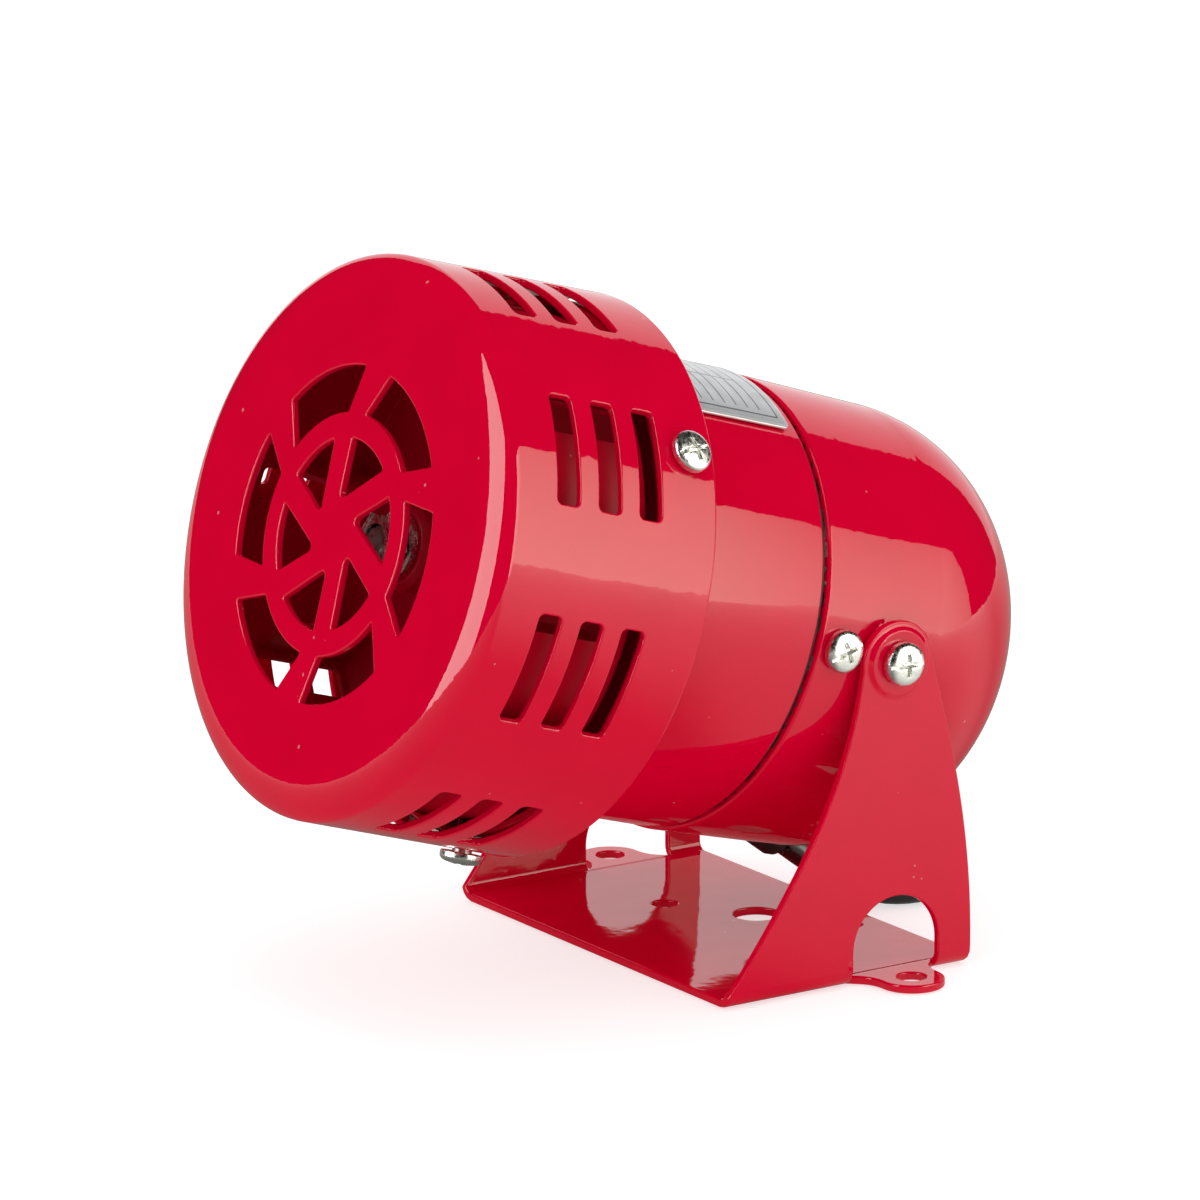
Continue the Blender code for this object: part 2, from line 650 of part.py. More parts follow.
# ---------------------------------------------------------------- rotor
def build_rotor():
    bore = SHAFT_RADIUS + CLEAR
    low, high = DRUM_SPAN
    disc, inner = high - 0.0012, DRUM_RADIUS - DRUM_WALL
    rotor = turned("siren_rotor", [
        (0.0120, bore), (0.0120, 0.0056), (0.0130, 0.0064), (disc - 0.0020, 0.0064),
        (disc, 0.0090), (disc, inner), (low, inner), (low, DRUM_RADIUS),
        (high - 0.0006, DRUM_RADIUS), (high, DRUM_RADIUS - 0.0006), (high, 0.0070),
        (high + 0.0030, 0.0064), (high + 0.0030, bore),
    ], RED, spin_axis)
    ports, vanes = bmesh.new(), bmesh.new()
    for k in range(PORTS):
        centre = PORT_START + k * 2 * math.pi / PORTS
        sector(ports, PORT_SPAN, (inner - 0.0010, DRUM_RADIUS + 0.0010), centre,
               PORT_HALF_ANGLE, corner=0.0006)
        turn = Matrix.Rotation(-(centre - VANE_LAG), 4, "Y")
        near, far = low + 0.0030 - PIVOT_STATION, high - 0.0006 - PIVOT_STATION
        outline = [(VANE_INNER, far), (VANE_INNER, near + 0.0040), (VANE_INNER + 0.0030, near),
                   (inner + 0.0005, near), (inner + 0.0005, far)]
        prism(vanes, outline, lambda u, v, h: turn @ Vector((u, v, h)), -0.0005, 0.0005)
    boolean(rotor, ports, parent=spin_axis)
    boolean(rotor, vanes, "UNION", parent=spin_axis)

    turned("motor_shaft", [(0.0074, 0.0), (0.0074, SHAFT_RADIUS - 0.0004),
                           (0.0079, SHAFT_RADIUS), (0.0968, SHAFT_RADIUS), (0.0968, 0.0)],
           STEEL, spin_axis, 24)
    turned("rotor_washer", [(0.0107, bore), (0.0107, 0.0052), (0.0116, 0.0052), (0.0116, bore)],
           ZINC, spin_axis, 24)
    nut = bmesh.new()
    front = 0.0070 - PIVOT_STATION
    prism(nut, arc((0, 0), 0.0046, 0, 2 * math.pi * 5 / 6, 5), along_y, front + 0.0003,
          front + 0.0034)
    o = add("rotor_nut", mesh_from(nut, "rotor_nut"), ZINC, spin_axis)
    hole = bmesh.new()
    prism(hole, arc((0, 0), bore, 0, 2 * math.pi * 23 / 24, 23), along_y, front - 0.002,
          front + 0.006)
    boolean(o, hole, parent=spin_axis)


# ---------------------------------------------------------------- motor
def build_motor():
    bore, bearing = SHAFT_RADIUS + CLEAR, 0.0082
    seat = bearing + CLEAR
    turned("motor_front_plate", [(0.0400, seat), (0.0400, 0.0328), (0.0425, 0.0328),
                                 (0.0425, seat)], STEEL, tilt_axis, 48)
    turned("motor_rear_plate", [(0.0903, seat), (0.0903, CAN_RADIUS), (0.0928, CAN_RADIUS),
                                (0.0928, seat)], STEEL, tilt_axis, 48)
    turned("motor_can", [(0.0428, CAN_RADIUS - 0.0015), (0.0428, CAN_RADIUS),
                         (0.0900, CAN_RADIUS), (0.0900, CAN_RADIUS - 0.0015)],
           STEEL, tilt_axis, 48)
    for name, start in (("front", 0.0394), ("rear", 0.0900)):
        turned(f"{name}_bearing", [(start, bore), (start, bearing), (start + 0.0048, bearing),
                                   (start + 0.0048, bore)], ZINC, tilt_axis, 32)
    for name, centre in (("upper", math.pi / 2), ("lower", -math.pi / 2)):
        half = math.radians(58)
        turned(f"field_magnet_{name}", [(0.0470, 0.0208), (0.0470, 0.0250), (0.0770, 0.0250),
                                        (0.0770, 0.0208)], FERRITE, tilt_axis, 20,
               centre - half, 2 * half)

    low, high = CORE_SPAN
    core = turned("armature_core", [(low, bore), (low, CORE_RADIUS), (high, CORE_RADIUS),
                                    (high, bore)], STEEL, spin_axis, 48)
    slots, bars = bmesh.new(), bmesh.new()
    for k in range(CORE_SLOTS):
        turn = Matrix.Rotation(-2 * math.pi * (k + 0.5) / CORE_SLOTS, 4, "Y")
        for bm, near, far, half, y0, y1 in (
            (slots, 0.0110, 0.0230, 0.0022, low - 0.001, high + 0.001),
            (bars, 0.0115, 0.0180, 0.0018, low - 0.0030, high + 0.0030),
        ):
            outline = [(near, -half), (far, -half), (far, half), (near, half)]
            prism(bm, outline, lambda u, v, h: turn @ Vector((u, h, v)), y0 - PIVOT_STATION,
                  y1 - PIVOT_STATION)
    boolean(core, slots, parent=spin_axis)

    winding = turned("armature_winding", [
        (0.0455, 0.0105), (0.0445, 0.0130), (0.0455, 0.0175), (0.0480, 0.0186),
        (low - CLEAR, 0.0180), (low - CLEAR, 0.0090),
    ], COPPER, spin_axis, 24)
    tail = bmesh.new()
    lathe(tail, [(high + CLEAR, 0.0090), (high + CLEAR, 0.0180), (0.0780, 0.0186),
                 (0.0805, 0.0175), (0.0815, 0.0130), (0.0805, 0.0105)], 24)
    boolean(winding, bars, "UNION", parent=spin_axis)
    boolean(winding, tail, "UNION", parent=spin_axis)

    commutator = turned("commutator", [(0.0828, bore), (0.0828, 0.0065), (0.0894, 0.0065),
                                       (0.0894, bore)], COPPER, spin_axis, 24)
    grooves = bmesh.new()
    for k in range(CORE_SLOTS):
        turn = Matrix.Rotation(-2 * math.pi * (k + 0.25) / CORE_SLOTS, 4, "Y")
        outline = [(0.0056, -0.0002), (0.0080, -0.0002), (0.0080, 0.0002), (0.0056, 0.0002)]
        prism(grooves, outline, lambda u, v, h: turn @ Vector((u, h, v)),
              0.0820 - PIVOT_STATION, 0.0900 - PIVOT_STATION)
    boolean(commutator, grooves, parent=spin_axis)

    middle = 0.0862 - PIVOT_STATION
    for name, side in (("right", 1), ("left", -1)):
        bm = bmesh.new()
        ends = sorted((side * 0.0069, side * 0.0140))
        box(bm, (ends[0], middle - 0.0020, -0.0020), (ends[1], middle + 0.0020, 0.0020))
        add(f"brush_{name}", mesh_from(bm, "brush"), CARBON, tilt_axis)

        bm = bmesh.new()
        ends = sorted((side * 0.0090, side * 0.0205))
        box(bm, (ends[0], middle - 0.0031, -0.0031), (ends[1], middle + 0.0031, 0.0031))
        holder = add(f"brush_holder_{name}", mesh_from(bm, "brush_holder"), BRASS, tilt_axis)
        bm = bmesh.new()
        ends = sorted((side * 0.0080, side * 0.0198))
        box(bm, (ends[0], middle - 0.0023, -0.0023), (ends[1], middle + 0.0023, 0.0023))
        boolean(holder, bm, parent=tilt_axis)

        coil = []
        for k in range(41):
            a = 2 * math.pi * k / 10
            x = side * (0.0147 + 0.0046 * k / 40)
            coil.append(Vector((x, middle + 0.0014 * math.cos(a), 0.0014 * math.sin(a))))
        tube(f"brush_spring_{name}", coil, 0.00025, STEEL, tilt_axis, 1)

    outlet = polar(0.0276, CORD_EXIT_ANGLE, CORD_EXIT_STATION + 0.0008)
    for name, side, mat in (("positive", 1, RED_CORE), ("negative", -1, JACKET)):
        behind = 0.0950 - PIVOT_STATION
        route = [
            Vector((side * 0.0125, behind - 0.0008, -0.0130)),
            Vector((side * 0.0080 - 0.0015, behind + 0.0015, -0.0200)),
            outlet + Vector((side * 0.0016, 0.0, 0.0)),
        ]
        tube(f"motor_lead_{name}", smooth_curve(route, 0.0022), 0.0007, mat, tilt_axis, 1)


# ---------------------------------------------------------------- lead
def build_lead():
    """Down from the cover to the ground, round behind the siren and into a coil."""
    out = cord_frame()
    floor = CORD_RADIUS + 0.00005
    y = PIVOT.y
    route = [
        out + CORD_DIRECTION * 0.0029,
        out + CORD_DIRECTION * 0.0078,
        Vector((-0.0024, y + 0.0152, 0.0053)),
        Vector((0.0002, y + 0.0186, 0.0032)),
        Vector((0.0030, y + 0.0218, floor + 0.0001)),
        Vector((0.0050, y + 0.0253, floor)),
        Vector((0.0046, y + 0.0294, floor)),
        Vector((0.0015, y + 0.0330, floor)),
        Vector((-0.0040, y + 0.0373, floor)),
        Vector((-0.0130, y + 0.0441, floor)),
        Vector((-0.0220, y + 0.0509, floor)),
        Vector((-0.0305, y + 0.0574, floor)),
    ]
    tube("power_cord", smooth_curve(route, 0.0060), CORD_RADIUS, JACKET, None, 2)

    bm = bmesh.new()
    inner, outer = COIL_RADII
    flat = PIVOT_STATION
    lathe(bm, [(flat, inner), (flat, outer), (flat - 2 * CORD_RADIUS, outer),
               (flat - 2 * CORD_RADIUS, inner)], 40)
    coil = add("cord_coil", mesh_from(bm, "cord_coil"), JACKET)
    coil.rotation_euler = (-math.pi / 2, 0.0, 0.0)
    coil.location = COIL_CENTRE

    for name, shift, mat in (("red", 0.0, RED_CORE), ("black", 0.0021, JACKET)):
        bend = 0.0085 - shift
        core = [
            COIL_CENTRE + Vector((bend * math.cos(a), bend * math.sin(a), 0.0008))
            for a in (math.radians(60 + 15 * k) for k in range(9))
        ]
        tube(f"core_{name}", core, 0.0007, mat, None, 1)
        along = (core[-1] - core[-2]).normalized()
        tip = [core[-1] + along * 0.0003, core[-1] + along * 0.0048]
        tube(f"core_tip_{name}", tip, 0.0004, COPPER, None, 1)


build_bracket()
build_head()
build_screws()
build_housing()
build_rotor()
build_motor()
build_lead()
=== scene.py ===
"""Looks of the alarm siren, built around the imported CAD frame."""

import json
import math

import bmesh
import bpy
import numpy as np
from mathutils import Matrix, Vector
from mathutils.geometry import delaunay_2d_cdt


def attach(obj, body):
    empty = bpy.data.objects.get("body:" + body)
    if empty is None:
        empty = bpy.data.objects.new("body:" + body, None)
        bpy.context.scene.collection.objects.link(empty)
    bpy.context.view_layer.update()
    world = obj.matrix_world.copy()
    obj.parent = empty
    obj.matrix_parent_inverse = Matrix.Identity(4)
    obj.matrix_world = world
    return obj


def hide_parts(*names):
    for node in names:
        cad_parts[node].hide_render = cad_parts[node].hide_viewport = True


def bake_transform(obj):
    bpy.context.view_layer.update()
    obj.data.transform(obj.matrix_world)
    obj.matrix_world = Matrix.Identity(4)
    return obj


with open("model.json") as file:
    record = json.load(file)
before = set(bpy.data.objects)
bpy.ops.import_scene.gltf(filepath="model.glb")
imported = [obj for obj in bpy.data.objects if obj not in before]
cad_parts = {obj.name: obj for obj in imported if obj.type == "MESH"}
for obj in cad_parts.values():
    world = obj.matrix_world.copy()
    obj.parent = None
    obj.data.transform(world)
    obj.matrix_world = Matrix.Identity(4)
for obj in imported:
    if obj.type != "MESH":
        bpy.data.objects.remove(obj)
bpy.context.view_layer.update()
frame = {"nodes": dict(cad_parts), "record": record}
scene = bpy.context.scene

# ------------------------ sizes, in metres
PIVOT = Vector((0.0, 0.0084, 0.0487))
PIVOT_STATION = 0.0785
TILT = math.radians(16.5)
BODY = Matrix.Translation(PIVOT) @ Matrix.Rotation(-TILT, 4, "X")
AXIS = (BODY.to_3x3() @ Vector((0.0, 1.0, 0.0))).normalized()

SHEET = 0.0013
BRACKET_WIDTH = 0.0732
PLATE_FRONT, PLATE_REAR = -0.0219, 0.0222
BEND_RADIUS = 0.0026
LUG_RADIUS = 0.0062
ARCH_HALF, ARCH_TOP = 0.00775, 0.0128
EAR_HALF, EAR_HOLE_X, EAR_HOLE_RADIUS = 0.0050, 0.0404, 0.00225
DIMPLE_RADIUS, DIMPLE_HEIGHT = 0.0055, 0.0006
BOLT_HOLE_RADIUS, SIDE_HOLE_RADIUS, PIVOT_HOLE_RADIUS = 0.0036, 0.0020, 0.0024
SIDE_HOLE_X, SIDE_HOLE_Y = 0.0126, 0.0084  # from the bolt hole

CAP_FRONT_RADIUS, CAP_RIM_RADIUS, CAP_LENGTH = 0.04195, 0.0425, 0.0380
CAP_CORNER_DEPTH, CAP_CORNER_REACH, CAP_WALL = 0.0032, 0.0060, 0.0012
SLOT_STATIONS, SLOT_WIDTH = (0.0117, 0.0190, 0.0262), 0.0039
SLOT_HALF_ANGLE, SLOT_START, SLOT_GROUPS = math.radians(11.6), math.radians(30.8), 8
GRILLE_OUTER, GRILLE_INNER, GRILLE_FOLD = (0.0181, 0.0250), (0.0050, 0.0143), 6

TUBE_RADIUS, TUBE_WALL, TUBE_SPAN = 0.0346, 0.0013, (0.0383, 0.0639)
COVER_FRONT_RADIUS, COVER_REAR_RADIUS = 0.0349, 0.0342
COVER_SPAN, DOME_RADIUS, COVER_WALL = (0.0648, 0.1148), 0.0277, 0.0015
GASKET_SPAN, GASKET_RADII = (0.0642, 0.0645), (0.0333, 0.0340)
BOSS_FACE_X, BOSS_RADIUS, BOSS_EDGE = 0.0350, 0.0058, 0.0012
LABEL_SPAN, LABEL_HALF_ANGLE, LABEL_LINES = (0.0405, 0.0620), math.radians(33.0), 7

HEAD_SCREW_STATION, HEAD_SCREW_START, HEAD_SCREW_SEAT = 0.0333, math.radians(34.4), 0.04285
COVER_SCREW_STATION, COVER_SCREW_SEAT = 0.0689, 0.03520
PIVOT_SCREW_SEAT = BRACKET_WIDTH / 2 + DIMPLE_HEIGHT + 0.0003
# radius and height of the head, length and radius of the shank
SMALL_SCREW, PIVOT_SCREW = (0.0032, 0.0018, 0.0065, 0.0015), (0.0033, 0.0020, 0.0095, 0.0020)

SHAFT_RADIUS, DRUM_RADIUS, DRUM_WALL, DRUM_SPAN = 0.0025, 0.0380, 0.0010, (0.0085, 0.0285)
PORTS, PORT_START, PORT_HALF_ANGLE, PORT_SPAN = 8, math.radians(41.5), math.radians(3.9), (0.0100, 0.0264)
VANE_INNER, VANE_LAG = 0.0280, math.radians(6.5)

CORD_RADIUS = 0.0021
CORD_EXIT_STATION, CORD_EXIT_ANGLE = 0.0940, math.radians(-98.0)
CORD_DIRECTION = Vector((0.10, 0.78, -0.61)).normalized()
COIL_CENTRE = Vector((-0.0580, 0.0564, 0.0))
CORE_RADIUS = 0.0007

EDGE = 0.00030  # rounding of a pressed edge
LIP = 0.0005  # rounding of a drawn shell's rim
WELD = 2e-6  # points nearer than this are one
CLEAR = 0.35e-3  # least distance of a panel's inner points from its edges
ROUND = 192  # facets of a full turn
CORNER_STEPS = 14

# strength of the all-round light, what gloss and the camera see of it, the lamp's watts
SKY, GLOSSY_SKY, CAMERA_SKY, OVERHEAD_POWER = 0.79, 0.01, 0.97, 5.1
FLOOR_HALF, FLOOR_TONE, FLOOR_GLOW = 6.0, 0.62, 0.64
BOUNCE_TONE, BOUNCE_GLOW = 0.84, 0.16
MIRROR_HALF, MIRROR_GLOW, MIRROR_FACING = 1.5, 2.3, 38.0
PANEL_DISTANCE, OVERHEAD_SIZE, OVERHEAD_PLACE = 1.2, 1.8, (0.0, 0.2, 2.4)
WHITE = (1.0, 1.0, 1.0)


def shown(name, data):
    """A new object in the scene."""
    o = bpy.data.objects.new(name, data)
    scene.collection.objects.link(o)
    return o


# ------------------------ camera
AZIMUTH, ELEVATION, ROLL = math.radians(56.44), math.radians(13.77), math.radians(-0.18)
DISTANCE, TARGET = 1.1132, Vector((0.0, -0.02016, 0.05468))
back = Vector((math.sin(AZIMUTH) * math.cos(ELEVATION),
               -math.cos(AZIMUTH) * math.cos(ELEVATION), math.sin(ELEVATION)))
camera_data = bpy.data.cameras.new("camera")
camera_data.lens, camera_data.sensor_width = 223.6, 36.0
camera_data.clip_start, camera_data.clip_end = 0.05, 50.0
camera = shown("camera", camera_data)
camera.location = TARGET + back * DISTANCE
camera.rotation_euler = (back.to_track_quat("Z", "Y").to_matrix()
                         @ Matrix.Rotation(ROLL, 3, "Z")).to_euler()
scene.camera = camera


# ------------------------ small tools
def smoothstep(t):
    """Ease from 0 to 1."""
    t = min(1.0, max(0.0, t))
    return t * t * (3 - 2 * t)


def turn(count, start=0.0):
    """Evenly spaced angles round a full turn."""
    return [start + 2 * math.pi * k / count for k in range(count)]


def quarter(count):
    """Evenly spaced angles over a quarter turn, both ends included."""
    return [math.pi / 2 * k / count for k in range(count + 1)]


def arc(centre, radius, start, stop, steps):
    """Points on an arc, both ends included."""
    angles = [start + (stop - start) * k / steps for k in range(steps + 1)]
    return [(centre[0] + radius * math.cos(a), centre[1] + radius * math.sin(a)) for a in angles]


def bezier(a, b, c, d, steps):
    """Points on a cubic curve, both ends included."""
    out = []
    for k in range(steps + 1):
        t = k / steps
        w = ((1 - t) ** 3, 3 * t * (1 - t) ** 2, 3 * t * t * (1 - t), t**3)
        out.append(tuple(sum(wi * p[i] for wi, p in zip(w, (a, b, c, d))) for i in (0, 1)))
    return out


def rounded(corners, radius, steps=6):
    """A closed outline with every sharp corner replaced by a small arc."""
    out = []
    for k, corner in enumerate(corners):
        here = Vector(corner)
        before = Vector(corners[k - 1]) - here
        after = Vector(corners[(k + 1) % len(corners)]) - here
        half = before.angle(after) / 2
        if half > math.radians(80):
            out.append(tuple(here))
            continue
        reach = min(radius / math.tan(half), 0.48 * before.length, 0.48 * after.length)
        r = reach * math.tan(half)
        before.normalize()
        after.normalize()
        middle = here + (before + after).normalized() * (r / math.sin(half))
        first, last = here + before * reach - middle, here + after * reach - middle
        for t in (j / steps for j in range(steps + 1)):
            spoke = first.slerp(last, t, first.lerp(last, t)).normalized()
            out.append(tuple(middle + spoke * r))
    return out


def spaced(loop, spacing):
    """A closed loop with extra points so that no side is longer than spacing."""
    out = []
    for a, b in zip(loop, loop[1:] + loop[:1]):
        count = max(1, math.ceil((Vector(b) - Vector(a)).length / spacing))
        out += [tuple(Vector(a).lerp(Vector(b), j / count)) for j in range(count)]
    return out


def polar(radius, angle, station):
    """A world point from a radius, an angle and a station on the siren's axis."""
    return BODY @ Vector((radius * math.cos(angle), station - PIVOT_STATION,
                          radius * math.sin(angle)))


def polar_normal(along, outward, angle):
    """A world normal from its parts along the siren's axis and out from it."""
    spread_out = Vector((outward * math.cos(angle), along, outward * math.sin(angle)))
    return (BODY.to_3x3() @ spread_out).normalized()


class Skin:
    """Collects faces whose points carry the normal of the true surface."""

    def __init__(self):
        self.bm = bmesh.new()
        self.layer = self.bm.verts.layers.float_vector.new("true_normal")

    def vert(self, point, normal):
        v = self.bm.verts.new(point)
        v[self.layer] = Vector(normal).normalized()
        return v

    def face(self, verts):
        verts = list(dict.fromkeys(verts))
        if len(verts) > 2:
            try:
                f = self.bm.faces.new(verts)
            except ValueError:
                return
            f.normal_update()
            aim = Vector((0.0, 0.0, 0.0))
            for v in verts:
                aim += v[self.layer]
            if f.normal.dot(aim) < 0:
                f.normal_flip()

    def bridge(self, a, b):
        for k in range(len(a)):
            n = (k + 1) % len(a)
            self.face([a[k], a[n], b[n], b[k]])

    def finish(self, name, mat):
        bmesh.ops.remove_doubles(self.bm, verts=self.bm.verts, dist=WELD)
        mesh = bpy.data.meshes.new(name)
        normals = [tuple(v[self.layer]) for v in self.bm.verts]
        self.bm.verts.layers.float_vector.remove(self.layer)
        self.bm.to_mesh(mesh)
        self.bm.free()
        mesh.shade_smooth()
        mesh.normals_split_custom_set_from_vertices(normals)
        return piece(name, mesh, mat)


def piece(name, mesh, mat):
    """A new object in the scene with one material."""
    o = shown(name, mesh)
    mesh.materials.clear()
    mesh.materials.append(mat)
    return o


def seat(o, node, body):
    """Show a piece in place of a CAD node, with its finish, on its body."""
    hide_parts(node)
    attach(o, body)


def place_with_normal(place, u, v, h, step=1e-5):
    """The point for (u, v, depth) and the outward normal of the surface there."""
    p = place(u, v, h)
    du = place(u + step, v, h) - place(u - step, v, h)
    dv = place(u, v + step, h) - place(u, v - step, h)
    n = du.cross(dv).normalized()
    inward = place(u, v, h + step) - p
    return p, (-n if n.dot(inward) > 0 else n)


def loop_normals(loop, into_hole):
    """Unit vectors from each point of a closed loop into the material, with mitre lengths."""
    pts = np.array(loop)
    area = 0.5 * np.sum(pts[:, 0] * np.roll(pts[:, 1], -1) - np.roll(pts[:, 0], -1) * pts[:, 1])
    sign = 1.0 if area > 0 else -1.0
    if into_hole:
        sign = -sign
    ahead = np.roll(pts, -1, 0) - pts
    ahead /= np.linalg.norm(ahead, axis=1)[:, None]
    left = np.stack([-ahead[:, 1], ahead[:, 0]], 1) * sign
    mean = left + np.roll(left, 1, 0)
    mean /= np.linalg.norm(mean, axis=1)[:, None]
    mitre = 1.0 / np.clip(np.sum(mean * left, 1), 0.5, 1.0)
    return mean, mitre


def inside(points, loop):
    """Which points lie inside a closed loop."""
    x, y = points[:, 0][:, None], points[:, 1][:, None]
    a, b = np.array(loop), np.roll(np.array(loop), -1, 0)
    crosses = (a[:, 1] > y) != (b[:, 1] > y)
    with np.errstate(divide="ignore", invalid="ignore"):
        at = a[:, 0] + (y - a[:, 1]) * (b[:, 0] - a[:, 0]) / (b[:, 1] - a[:, 1])
    return np.sum(crosses & (x < at), 1) % 2 == 1


def triangulate(loops, extra):
    """Fill flat loops, the outline first and then its openings, by way of extra points.

    Gives the points, the triangles, and where each point of the loops is found among them.
    """
    scale = 1000.0  # the triangulation works in millimetres
    flat = [tuple(p * scale) for loop in loops for p in loop]
    edges, at = [], 0
    for loop in loops:
        n = len(loop)
        edges += [(at + k, at + (k + 1) % n) for k in range(n)]
        at += n
    extra = np.array(extra).reshape(-1, 2)
    keep = inside(extra, loops[0])
    for loop in loops[1:]:
        keep &= ~inside(extra, loop)
    ring = np.array(flat) / scale
    flat += [tuple(p * scale) for p in extra[keep] if np.min(np.sum((ring - p) ** 2, 1)) > CLEAR**2]

    points, _, tris, origin, _, _ = delaunay_2d_cdt([Vector(p) for p in flat], edges, [], 0, 1e-6)
    index_of = {old: new for new, olds in enumerate(origin) for old in olds}
    points, tris = np.array([tuple(p) for p in points]) / scale, np.array(tris)
    centre = points[tris].mean(1)
    keep = inside(centre, loops[0])
    for loop in loops[1:]:
        close = keep & np.all((centre > loop.min(0)) & (centre < loop.max(0)), 1)
        idx = np.nonzero(close)[0]
        keep[idx[inside(centre[idx], loop)]] = False
    return points, tris[keep], index_of


def panel(skin, outer, holes, place, thickness, extra=(), rim_outer=True, metric=1.0, edge=EDGE):
    """Sheet metal: a flat outline with openings, placed by place(u, v, depth), rounded edges.

    The loops are given in metres, and metric is the length of one unit of place's u.
    """
    def real(p):
        return p[0] / metric, p[1]

    loops = []
    for loop, is_hole, rim in [(outer, False, rim_outer)] + [(h, True, True) for h in holes]:
        inwards, mitre = loop_normals(loop, is_hole)
        pts = np.array(loop)
        top = pts + inwards * (mitre * edge)[:, None] if rim else pts
        loops.append((pts, inwards, mitre, top, rim))
    points, tris, index_of = triangulate([top for _, _, _, top, _ in loops], extra)

    sides = []
    for depth, flip in ((0.0, 1.0), (thickness, -1.0)):
        verts = {}
        for i in np.unique(tris):
            u, v = real(points[i])
            p, n = place_with_normal(place, u, v, depth)
            verts[i] = skin.vert(p, n * flip)
        for t in tris:
            skin.face([verts[i] for i in t])
        sides.append(verts)

    at = 0
    for pts, inwards, mitre, _, rim in loops:
        n = len(pts)
        if rim:
            rings = [[sides[0].get(index_of[at + k]) for k in range(n)]]
            steps = 3
            profile = [(math.pi / 2 * j / steps, 0) for j in range(1, steps + 1)]
            profile += [(math.pi / 2 * j / steps, 1) for j in range(steps, 0, -1)]
            for a, below in profile:
                row = []
                back_off = edge * (1 - math.sin(a))
                depth = edge * (1 - math.cos(a))
                if below:
                    depth = thickness - depth
                for k in range(n):
                    q = pts[k] + inwards[k] * mitre[k] * back_off
                    u, v = real(q)
                    p, up = place_with_normal(place, u, v, depth)
                    u2, v2 = real(q - inwards[k] * 1e-5)
                    out = (place(u2, v2, depth) - p).normalized()
                    up = -up if below else up
                    row.append(skin.vert(p, up * math.cos(a) + out * math.sin(a)))
                rings.append(row)
            rings.append([sides[1].get(index_of[at + k]) for k in range(n)])
            for a, b in zip(rings, rings[1:]):
                skin.bridge(a, b)
        at += n


def chain(skin, rows, start=0.0, facets=ROUND, closed=False, shape=None):
    """Turn an outline of (station, radius, normal along, normal outward) rows; return its rings."""
    rings = []
    for station, radius, along, outward in rows:
        ring = []
        for a in turn(facets, start):
            p, n = polar(radius, a, station), polar_normal(along, outward, a)
            ring.append(skin.vert(*(shape(p, n) if shape else (p, n))))
        rings.append(ring)
    for a, b in zip(rings, rings[1:] + rings[:1] if closed else rings[1:]):
        skin.bridge(a, b)
    return rings


def laid_flat(radius, stations, facets):
    """The outline and the inner points of a drum's wall, unrolled."""
    reach = 2 * math.pi * radius
    columns = [reach * k / facets for k in range(facets + 1)]
    first, last = stations[0], stations[-1]
    outline = [(c, first) for c in columns[:-1]] + [(reach, v) for v in stations[:-1]]
    outline += [(c, last) for c in reversed(columns[1:])] + [(0.0, v) for v in reversed(stations[1:])]
    return outline, [(c, v) for c in columns[1:-1] for v in stations[1:-1]]


def opening(low, high, near, far, corner, steps, spacing):
    """A rounded rectangular opening in a wall that is laid flat."""
    corners = [(low, near), (high, near), (high, far), (low, far)]
    return spaced(rounded(corners, corner, steps), spacing)


def outline_rows(corners, radius, steps=4):
    """A closed (station, radius) outline with rounded corners, as rows with outward normals."""
    pts = rounded(corners, radius, steps) if radius else list(corners)
    area = sum(a[0] * b[1] - b[0] * a[1] for a, b in zip(pts, pts[1:] + pts[:1]))
    sign = 1 if area > 0 else -1
    rows = []
    for k, p in enumerate(pts):
        before = (Vector(p) - Vector(pts[k - 1])).normalized()
        after = (Vector(pts[(k + 1) % len(pts)]) - Vector(p)).normalized()
        along = (before + after).normalized()
        rows.append((p[0], p[1], along.y * sign, -along.x * sign))
    return rows


def turned(name, corners, mat, radius):
    """A ring turned from a closed outline with rounded corners."""
    skin = Skin()
    chain(skin, outline_rows(corners, radius), closed=True)
    return skin.finish(name, mat)


